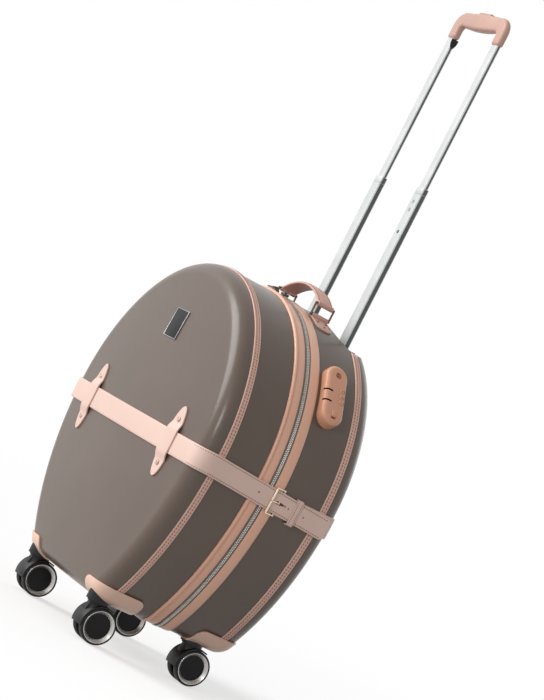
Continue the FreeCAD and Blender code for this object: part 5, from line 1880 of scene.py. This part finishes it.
@dataclass
class Casters:
    """Four twin-wheel casters: forks, tyres, bright rings and recessed black discs."""

    trail: float = 12.0
    radius: float = 25.0
    rim: float = 22.0
    ring: float = 17.4
    inner_face: float = 5.0
    outer_face: float = 16.0
    dish: float = 11.0
    axle: float = 3.0
    steps: int = 72

    def lathe(self, name: str, profiles: Sequence[Section], closed: bool) -> Piece:
        """Turns profiles round the axle.

        Args:
            name: The name of the piece.
            profiles: Profiles as distance along the axle and radius.
            closed: Whether each profile is a closed loop.

        Returns:
            The turned piece, centred on the axle, in object mode.
        """
        turned = []
        for number, profile in enumerate(profiles):
            wheel = Bench.wire(f"{name}_{number}", [(x, 0.0, r) for x, r in profile], closed)
            Bench.spin(self.steps, FULL_TURN, ORIGIN, RIGHT_AXIS)
            Bench.seal()
            turned.append(wheel)
        return Bench.join(name, turned)

    def both(self, profile: Section) -> list[Section]:
        """A profile of the outer wheel and its mirror image for the inner one."""
        return [profile, [(-x, r) for x, r in profile]]

    def build(self) -> None:
        """Models one set of wheels and copies it to the four corners."""
        near, far = self.inner_face, self.outer_face
        rim, dish = self.rim, self.dish
        tyre = [(near, rim), (near, 23.6), (near + 0.4, 24.5), (near + 1.4, self.radius), (far - 2.6, self.radius),
                (far - 1.2, 24.7), (far - 0.4, 23.9), (far, 22.9), (far, rim)]
        ring = [(far - 0.2, rim), (far + 0.1, rim - 0.3), (far, rim - 0.8), (dish + 1.2, self.ring + 0.3),
                (dish + 0.6, self.ring), (dish, self.ring), (dish, rim)]
        side = [(dish + 0.4, 0.0), (dish + 0.3, 6.0), (dish, self.ring - 4.0), (dish - 0.5, self.ring),
                (dish - 0.5, rim), (near, rim), (near, self.axle)]
        hub = [*side, *((-x, r) for x, r in reversed(side))]
        masters = (("tyres", self.lathe("tyre_master", self.both(tyre), True), RUBBER, "tyres"),
                   ("wheel_rings", self.lathe("ring_master", self.both(ring), True), BRIGHT, ""),
                   ("wheel_discs", self.lathe("hub_master", [hub], False), DISC_BLACK, "wheel_hubs"))
        for corner in Corner:
            label, x, y = corner.value
            for name, master, finish, node in masters:
                copy = linked(f"{label}_{name}_turned", master.data.copy())
                copy.data.transform(Matrix.Translation((x, y + self.trail, self.radius)))
                Fitter.fit(copy, f"{label}_wheels", finish, (f"{label}_{node}",) if node else (), smooth=30.0)
            Fitter.soften(f"{label}_caster_fork", f"{label}_fork_moulding", f"{label}_fork", BLACK, width=0.5)
        for _, master, _, _ in masters:
            bpy.data.objects.remove(master)


@dataclass
class Trolley:
    """The telescopic trolley: rounded tubes, collars, bezel, moulded grip and its button."""

    spacing: float = 61.0
    setback: float = 92.0
    middle: tuple[float, float, float, float] = (20.6, 10.0, 460.0, 734.0)
    inner: tuple[float, float, float, float] = (17.0, 7.0, 690.0, 985.0)
    rounding: float = 3.0
    half_width: float = 71.2
    leg_width: float = 20.4
    leg_bottom: float = 963.0
    underside: float = 983.0
    top: float = 1005.0
    depth: float = 11.0
    bar_depth: float = 15.5
    bar_cuts: int = 9
    corner: float = 22.0
    inner_corner: float = 6.0
    belly: float = 2.6
    soft_edge: float = 5.0
    button_well: Point = (32.8, 10.8, 26.0)
    button_rise: float = 4.0
    inlay_size: Point = (14.0, 5.4, 2.4)
    collar_height: float = 10.0
    rivet_heights: tuple[float, ...] = (722.0, 710.0)
    pin_height: float = 676.0
    rivet_sink: float = 0.42
    rivet_rim: float = 0.45
    rivet: Rivet = Rivet(2.7, 1.0, ((0.45, 0.0), (0.3, -0.04)), 0.05, sides=24)
    # Faces whose normal leans this far to the side get the painted shade grey.
    side_share: float = 0.97
    recess_floor: float = 498.0
    bezel_share: float = 0.5
    bezel_hold: float = 73.0
    bezel_draw: float = 0.3

    def tubes(self, name: str, size: tuple[float, float, float, float]) -> Piece:
        """Models a pair of tubes with well rounded corners.

        Args:
            name: The name of the pair.
            size: Their width, depth, lower end and upper end.

        Returns:
            The pair.
        """
        width, depth, low, high = size
        pair = []
        for side in Side:
            label, sign = side.value
            pair.append(Bench.bar(f"{name}_{label}", (width, depth, high - low),
                                  (sign * self.spacing, self.setback, (low + high) / 2.0), axis=2,
                                  corner=min(self.rounding, depth / 2.0 - 0.3)))
        return Bench.join(name, pair)

    def grip(self) -> Piece:
        """Models the grip: an upturned U with soft edges and a full belly under its bar.

        Returns:
            The grip.
        """
        shoulder = self.half_width - self.corner
        reach = self.half_width - self.leg_width - self.inner_corner
        rise = self.underside - self.inner_corner - self.leg_bottom
        y = self.setback - self.depth / 2.0
        grip = Bench.wire("grip_moulding", [(0.0, y, self.top)])
        Bench.extrude_along((reach, 0.0, 0.0), self.bar_cuts)
        Bench.extrude((shoulder - reach, 0.0, 0.0))
        Bench.spin(8, QUARTER_TURN, (shoulder, y, self.top - self.corner), BACK_AXIS)
        Bench.extrude_along((0.0, 0.0, self.leg_bottom - self.top + self.corner), 4)
        Bench.extrude((-self.leg_width, 0.0, 0.0))
        Bench.extrude_along((0.0, 0.0, rise), 3)
        Bench.spin(6, -QUARTER_TURN, (reach, y, self.leg_bottom + rise), BACK_AXIS)
        Bench.extrude_along((-reach, 0.0, 0.0), self.bar_cuts)
        Bench.mirror(grip)
        Bench.edit(grip)
        bpy.ops.mesh.remove_doubles(threshold=0.01)
        bpy.ops.mesh.edge_face_add()
        Bench.extrude((0.0, self.depth, 0.0))
        Bench.close_up()
        Bench.cut_across((reach * step / self.bar_cuts for step in range(-self.bar_cuts, self.bar_cuts + 1)), 0.02)
        Bench.clear()

        def fill_out(place: Vector) -> Vector:
            """Gives the bar its belly and its greater depth.

            Args:
                place: A point of the grip.

            Returns:
                Its new place.
            """
            share = max(0.0, 1.0 - (place.x / reach) ** 2)
            if place.z < self.underside + 0.5 and abs(place.x) < reach:
                place.z -= self.belly * share
            fuller = 1.0 + (self.bar_depth / self.depth - 1.0) * ease(share)
            place.y = self.setback + (place.y - self.setback) * fuller
            return place

        Bench.reshape(grip, fill_out)
        Bench.round_edges(grip, self.soft_edge, segments=6, angle=60.0)
        Bench.subtract(grip, Bench.cube("well_tool", self.button_well,
                                        (0.0, self.setback, self.top + self.button_rise)))
        return grip

    def inlay(self) -> Piece:
        """Models the half-round black inlay on the inner side of the left tube, under the grip.

        Returns:
            The inlay.
        """
        side = -self.spacing + self.inner[0] / 2.0
        inlay = Bench.cylinder("grip_inlay", 40, (1.0, 1.0), (side, self.setback, self.leg_bottom), FACING_SIDE,
                               self.inlay_size)
        Bench.edit(inlay)
        Bench.slice((0.0, 0.0, self.leg_bottom), UP_AXIS)
        Bench.seal()
        Bench.round_edges(inlay, width=0.3)
        return inlay

    def slim(self, place: Vector) -> Vector:
        """Thins the bezel and draws its ends in towards the tubes.

        Args:
            place: A point of the bezel.

        Returns:
            Its new place.
        """
        place.z = self.recess_floor + (place.z - self.recess_floor) * self.bezel_share
        spare = abs(place.x) - self.bezel_hold
        if spare > 0.0:
            place.x = math.copysign(self.bezel_hold + spare * self.bezel_draw, place.x)
        return place

    def bumper(self) -> None:
        """Fits the inlay in rubber on the inner tubes, with a mesh of its own."""
        inlay = Fitter.fit(self.inlay(), "trolley_inner", RUBBER)
        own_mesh(inlay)

    def rivets(self) -> Piece:
        """Models the two rivets and the locking pin on the front of the right middle tube.

        Returns:
            The heads as one piece.
        """
        front = self.setback - self.middle[1] / 2.0 + self.rivet_sink
        return Bench.join("tube_rivet_heads", [
            self.rivet.head(f"tube_rivet_{number}", (self.spacing, front, height))
            for number, height in enumerate((*self.rivet_heights, self.pin_height))])

    def is_rim(self, face: bpy.types.MeshPolygon) -> bool:
        """Whether a face is a rivet's dark rim or part of the pin.

        Args:
            face: A face of the heads.

        Returns:
            Whether it is.
        """
        x, _, z = face.center / MM
        radii = [math.hypot(x - self.spacing, z - height) for height in self.rivet_heights]
        return min(radii) > self.rivet.radius - self.rivet_rim

    def build(self) -> None:
        """Models the tubes and the grip, paints shade in a darker grey on the tubes' side faces, and softens the small
        mouldings.
        """
        width, depth, _, high = self.middle
        collars = self.tubes("tube_collar_rings", (width, depth, high, high + self.collar_height))
        Bench.round_edges(collars, width=0.6)
        for pair, body, node in ((self.tubes("middle_tube_pair", self.middle), "trolley_middle", "middle_tubes"),
                                 (self.tubes("inner_tube_pair", self.inner), "trolley_inner", "inner_tubes"),
                                 (collars, "trolley_middle", "middle_collars")):
            Fitter.fit(pair, body, ALUMINIUM, (node,))
            # Painted shade: the tubes' side faces are painted a darker grey.
            Fitter.accent(pair, SHADE_AND_RIM_GREY, lambda face: abs(face.normal.x) > self.side_share)
        Fitter.fit(self.grip(), "trolley_inner", GRIP_MOULDING, ("trolley_grip",))
        self.bumper()
        heads = Fitter.fit(self.rivets(), "trolley_middle", STEEL)
        Fitter.accent(heads, SHADE_AND_RIM_GREY, self.is_rim)
        bezel = Bench.copy_node("trolley_bezel", "trolley_bezel_moulding")
        Bench.reshape(bezel, self.slim)
        Bench.round_edges(bezel, width=0.6)
        Fitter.fit(bezel, "rear_case", BEZEL_MOULDING, ("trolley_bezel",))
        Fitter.soften("grip_button", "grip_button_moulding", "grip_button", GRIP_MOULDING, width=0.8)
        Fitter.dress(ALUMINIUM, "base_tubes")
        Fitter.dress(STEEL, "release_bar")
        Fitter.dress(BLACK, "tube_foot")


@dataclass
class CarryHandle:
    """The stitched leather handle on its wire loops, with the chapes that hold them."""

    setback: float = 41.0
    half_span: float = 59.0
    width: float = 25.4
    thickness: float = 5.5
    arch_radius: float = 103.0
    arch_centre: float = 453.9
    high_bar: float = 538.4
    fold_radius: float = 3.6
    fold_lip: float = 0.5
    bar_radius: float = 1.55
    stitch_edge: float = 2.4
    stitch_rise: float = 1.5
    stitch_end: float = 0.05
    chape_start: float = 16.36
    chape_sector: float = 4.4
    chape_grow: float = 2.3
    chape_edge: float = 10.6
    stitch: Stitch = Stitch(radius=0.42, length=2.6, pitch=3.7)

    @property
    def reach(self) -> float:
        """The angle of half the arch."""
        return math.asin(self.half_span / self.arch_radius)

    def section(self) -> Section:
        """The section of the arch: two stitched edges and a full, rounded middle.

        Returns:
            The corners of the section.
        """
        half = self.width / 2.0
        top = self.thickness / 2.0
        upper = [(-half, -0.9), (-half, 0.6), (-half + 0.5, 1.2), (-half + 1.6, 1.4), (-half + 3.4, 1.45),
                 (-half + 5.0, 2.1), (-half + 7.5, top - 0.15), (0.0, top)]
        return [*mirrored(upper), (half - 0.6, -1.6), (half - 5.0, -1.9), (0.0, -2.1), (-half + 5.0, -1.9),
                (-half + 0.6, -1.6)]

    def arch(self) -> Piece:
        """Spins the section along the arch and closes its ends.

        Returns:
            The arch.
        """
        points = [(0.0, self.setback + y, self.arch_centre + self.arch_radius + rise) for y, rise in self.section()]
        arch = Bench.wire("handle_arch_leather", points, closed=True)
        Bench.spin(30, self.reach, (0.0, 0.0, self.arch_centre), BACK_AXIS)
        Bench.cap_ends(arch)
        Bench.close_up()
        Bench.pick(arch, Part.VERTICES, lambda vertex: abs(vertex.co.x) < 0.01)
        bpy.ops.mesh.delete(type="ONLY_FACE")
        Bench.mirror(arch)
        Bench.edit(arch)
        Bench.seal()
        return arch

    def fold(self, side: Side) -> Piece:
        """Lathes the leather fold round one bar of a wire loop.

        Args:
            side: The side of the handle.

        Returns:
            The fold.
        """
        label, sign = side.value
        half = self.width / 2.0
        lip = self.fold_lip
        ring = [(-half, self.bar_radius), (-half, self.fold_radius - lip), (-half + lip, self.fold_radius),
                (half - lip, self.fold_radius), (half, self.fold_radius - lip), (half, self.bar_radius)]
        points = [(sign * self.half_span, self.setback + y, self.high_bar + r) for y, r in ring]
        fold = Bench.wire(f"handle_fold_{label}", points, closed=True)
        Bench.spin(32, FULL_TURN, (sign * self.half_span, 0.0, self.high_bar), BACK_AXIS)
        Bench.seal()
        return fold

    def sewing(self) -> Piece:
        """Sews both edges of the arch.

        Returns:
            The sewing.
        """
        reach = self.reach - self.stitch_end
        edge = self.width / 2.0 - self.stitch_edge
        height = self.arch_centre + self.arch_radius + self.stitch_rise

        def repeat(row: Piece) -> None:
            """Repeats a stitch along the arch, to both sides.

            Args:
                row: The row.
            """
            Bench.spin(round(reach * self.arch_radius / self.stitch.pitch), reach, (0.0, 0.0, self.arch_centre),
                       BACK_AXIS, copies=True)
            Bench.mirror(row)

        places = [(0.0, self.setback + sign * edge, height) for sign in BOTH]
        return self.stitch.rows("handle_stitches", places, Run.SIDEWAYS, repeat)

    def chape_sewing(self) -> Piece:
        """Sews both edges of the two chapes.

        Returns:
            The sewing.
        """
        sector = math.radians(self.chape_sector)
        radius = OUTLINE.top_radius + self.chape_grow

        def repeat(row: Piece) -> None:
            """Turns a stitch to the start of the right chape and repeats it on both chapes.

            Args:
                row: The row.
            """
            bpy.ops.transform.rotate(value=-math.radians(self.chape_start), orient_axis="Y",
                                     center_override=OUTLINE.centre)
            Bench.spin(max(1, round(sector * radius / self.stitch.pitch)), sector, OUTLINE.centre, BACK_AXIS,
                       copies=True)
            Bench.mirror(row, merge=False)

        places = [(0.0, self.setback + sign * self.chape_edge, OUTLINE.centre_height + radius) for sign in BOTH]
        return self.stitch.rows("chape_stitches", places, Run.SIDEWAYS, repeat)

    def build(self) -> None:
        """Models the handle, its sewing and the chapes, and dresses the loops."""
        handle = Bench.join("carry_handle_leather", [self.arch(), *map(self.fold, Side)])
        Fitter.fit(handle, "handle", HANDLE_LEATHER, ("carry_handle",))
        Fitter.fit(self.sewing(), "handle", BINDING_THREAD)
        Fitter.soften("handle_chapes", "chape_leather", "rear_case", HANDLE_LEATHER, width=0.5)
        Fitter.fit(self.chape_sewing(), "rear_case", THREAD)
        Fitter.soften("chape_rivets", "chape_studs", "rear_case", BRONZE, width=0.3)
        Fitter.dress(BRONZE, "left_handle_loop", "right_handle_loop")


@dataclass
class CombinationLock:
    """The combination lock on the right shoulder."""

    angle: float = 55.0
    setback: float = 42.0
    slot_places: tuple[float, float] = (-3.5, 12.5)
    slot_half: float = 1.4
    slot_end: float = -5.8
    slot_floor: float = 6.3
    dial_offset: float = 8.5
    dial_pitch: float = 9.0
    dial_rise: float = 232.2
    dial_face: float = 6.66
    digits: int = 10
    digit_size: float = 3.7
    digit_depth: float = 0.05

    def seat(self, shift: float) -> Matrix:
        """The place of a dial's middle, with X along its axis and Z out of the lock.

        Args:
            shift: The dial's place along the lock.

        Returns:
            The matrix that takes it there.
        """
        return (Matrix.Translation((0.0, self.setback + self.dial_offset, OUTLINE.centre_height))
                @ Matrix.Rotation(math.radians(self.angle), 4, "Y")
                @ Matrix.Translation((shift, 0.0, self.dial_rise)))

    def digit(self, name: str, number: int) -> Piece:
        """Models one digit, flat at the origin.

        Args:
            name: The name of the piece.
            number: The digit.

        Returns:
            The digit as a mesh.
        """
        Bench.clear()
        bpy.ops.object.text_add()
        word = bpy.context.object.data
        word.body = str(number)
        word.size = self.digit_size
        word.align_x = word.align_y = "CENTER"
        word.extrude = self.digit_depth
        bpy.ops.object.convert(target="MESH")
        return Bench.named(name)

    def dial(self, name: str, shift: float) -> None:
        """Turns one dial so that a face looks out of its window, and prints its digits.

        Args:
            name: The dial's name.
            shift: Its place along the lock.
        """
        seat = self.seat(shift)
        step = FULL_TURN / self.digits
        wheel = Bench.copy_node(f"{name}_lock_dial", f"{name}_dial_wheel")
        wheel.data.transform(seat @ Matrix.Rotation(step / 2.0, 4, "X") @ seat.inverted())
        Bench.round_edges(wheel, width=0.35)
        Fitter.fit(wheel, f"{name}_dial", LOCK_MOULDING, (f"{name}_lock_dial",))
        ring = []
        for number in range(self.digits):
            digit = self.digit(f"{name}_digit_{number}", number)
            digit.data.transform(seat @ Matrix.Rotation(number * step, 4, "X")
                                 @ Matrix.Translation((0.0, 0.0, self.dial_face)))
            ring.append(digit)
        Fitter.fit(Bench.join(f"{name}_dial_digits", ring), f"{name}_dial", DIGIT)

    def in_slot(self, face: bpy.types.MeshPolygon) -> bool:
        """Whether a face lines one of the two slots that take the zip pulls.

        Args:
            face: A face of the lock's body.

        Returns:
            Whether it does.
        """
        lean = math.radians(self.angle)
        x, y, z = face.center / MM
        height = z - OUTLINE.centre_height
        along = x * math.cos(lean) - height * math.sin(lean)
        rise = x * math.sin(lean) + height * math.cos(lean) - OUTLINE.top_radius
        return y - self.setback < self.slot_end and rise > self.slot_floor and any(
            abs(along - place) < self.slot_half for place in self.slot_places)

    def build(self) -> None:
        """Softens the lock's body and its moving pieces, and paints shade into its slots in black."""
        body = Fitter.soften("lock_body", "lock_body_moulding", "rear_case", LOCK_MOULDING, width=0.5)
        # Painted shade: the faces inside the deep slots are painted black.
        Fitter.accent(body, BLACK, self.in_slot)
        for place, name in enumerate(("first", "second", "third"), -1):
            self.dial(name, place * self.dial_pitch)
        Fitter.soften("key_plug", "key_plug_metal", "key_plug", PLUG_MOULDING, width=0.25)
        Fitter.soften("lock_button", "lock_button_moulding", "lock_button", LOCK_MOULDING, width=0.5)


@dataclass
class Studio:
    """The pale floor, the soft light and the camera at the photograph's angle, in metres."""

    camera_place: Point = (3.0151, -1.5537, 0.3771)
    camera_target: Point = (0.05625, 0.0, 0.45265)
    camera_roll: float = 27.13
    lens: float = 127.4
    sensor: float = 36.0
    ambient: float = 0.38
    key_strength: float = 2.4
    key_angle: float = 40.0
    key_place: Point = (-2.2, -4.0, 2.48)
    fill_power: float = 26.0
    fill_size: float = 0.8
    fill_place: Point = (2.0, -3.0, 1.2)
    back_power: float = 10.0
    back_size: float = 1.8
    back_place: Point = (-1.4, 3.2, 1.5)
    lamp_target: Point = (0.0, 0.0, 0.35)
    floor_radius: float = 3.2
    floor_drop: float = 0.0005
    floor_glow: float = 0.6
    floor_fade: tuple[float, float] = (0.35, 0.95)

    def build(self) -> None:
        """Sets the world, the floor, the lamps and the camera."""
        bpy.context.scene.view_settings.view_transform = "Standard"
        self.world()
        self.floor()
        self.lamps()
        self.camera()

    def seen(self, tree: bpy.types.NodeTree) -> Socket:
        """One for camera, glossy and transmission rays, and zero for the rest.

        Args:
            tree: The node tree that asks.

        Returns:
            The output that says so.
        """
        rays = tree.nodes.new("ShaderNodeLightPath")
        total = rays.outputs["Is Camera Ray"]
        for kind in ("Is Glossy Ray", "Is Transmission Ray"):
            joined = tree.nodes.new("ShaderNodeMath")
            joined.operation = "MAXIMUM"
            tree.links.new(total, joined.inputs[0])
            tree.links.new(rays.outputs[kind], joined.inputs[1])
            total = joined.outputs["Value"]
        return total

    def world(self) -> None:
        """A white surround that lights the object at the ambient level."""
        world = bpy.data.worlds.new("studio_surround")
        bpy.context.scene.world = world
        world.use_nodes = True
        tree = world.node_tree
        tree.nodes.clear()
        mixed = tree.nodes.new("ShaderNodeMixShader")
        for number, strength in enumerate((self.ambient, 1.0), 1):
            shade = tree.nodes.new("ShaderNodeBackground")
            shade.inputs["Color"].default_value = (1.0, 1.0, 1.0, 1.0)
            shade.inputs["Strength"].default_value = strength
            tree.links.new(shade.outputs["Background"], mixed.inputs[number])
        output = tree.nodes.new("ShaderNodeOutputWorld")
        tree.links.new(self.seen(tree), mixed.inputs["Fac"])
        tree.links.new(mixed.outputs["Shader"], output.inputs["Surface"])

    def floor(self) -> None:
        """A pale round floor that keeps the shadow and fades into the surround."""
        Bench.clear()
        bpy.ops.mesh.primitive_circle_add(vertices=96, radius=self.floor_radius, fill_type="NGON")
        floor = Bench.named("studio_floor")
        floor.location.z = -self.floor_drop
        graph = Graph("pale_studio_floor")
        away = graph.add("ShaderNodeVectorMath", {0: graph.place}, operation="LENGTH").outputs["Value"]
        start, end = (self.floor_radius * share for share in self.floor_fade)
        graph.set(Base_Color=(0.5, 0.5, 0.5, 1.0), Roughness=0.9, Specular_IOR_Level=0.0,
                  Emission_Color=(1.0, 1.0, 1.0, 1.0),
                  Emission_Strength=graph.maths("MULTIPLY", self.seen(graph.tree), self.floor_glow),
                  Alpha=graph.between(away, 1.0, 0.0, start, end))
        floor.data.materials.append(graph.material)

    def lamps(self) -> None:
        """A broad key lamp from the front left, a weak fill from the right and one for the back."""
        key = bpy.data.lights.new("key_lamp", "SUN")
        key.energy = self.key_strength
        key.angle = math.radians(self.key_angle)
        fill = bpy.data.lights.new("fill_lamp", "AREA")
        fill.energy = self.fill_power
        fill.size = self.fill_size
        back = bpy.data.lights.new("back_lamp", "AREA")
        back.energy = self.back_power
        back.size = self.back_size
        for lamp, place in ((key, self.key_place), (fill, self.fill_place), (back, self.back_place)):
            holder = linked(lamp.name, lamp)
            holder.location = place
            aim = Vector(self.lamp_target) - Vector(place)
            holder.rotation_euler = aim.to_track_quat("-Z", "Y").to_euler()

    def camera(self) -> None:
        """A long lens at the photograph's viewing angle, rolled as the photograph is."""
        lens = bpy.data.cameras.new("photo_camera")
        lens.lens = self.lens
        lens.sensor_width = self.sensor
        holder = linked("photo_camera", lens)
        aim = Vector(self.camera_target) - Vector(self.camera_place)
        roll = Quaternion(UP_AXIS, math.radians(self.camera_roll))
        holder.location = self.camera_place
        holder.rotation_mode = "QUATERNION"
        holder.rotation_quaternion = aim.to_track_quat("-Z", "Y") @ roll
        bpy.context.scene.camera = holder


def main() -> None:
    """Builds every sub-assembly in order."""
    logging.basicConfig(level=logging.INFO, format="%(name)s: %(message)s")
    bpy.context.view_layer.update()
    for assembly in (Studio(), Shells(), Interior(), Bindings(), Zip(), FrontStrap(), BackStrap(), Badge(),
                     CornerGuards(), Casters(), Trolley(), CarryHandle(), CombinationLock()):
        LOG.info("building %s", type(assembly).__name__)
        assembly.build()
    Bench.clear()


if __name__ == "__main__":
    main()
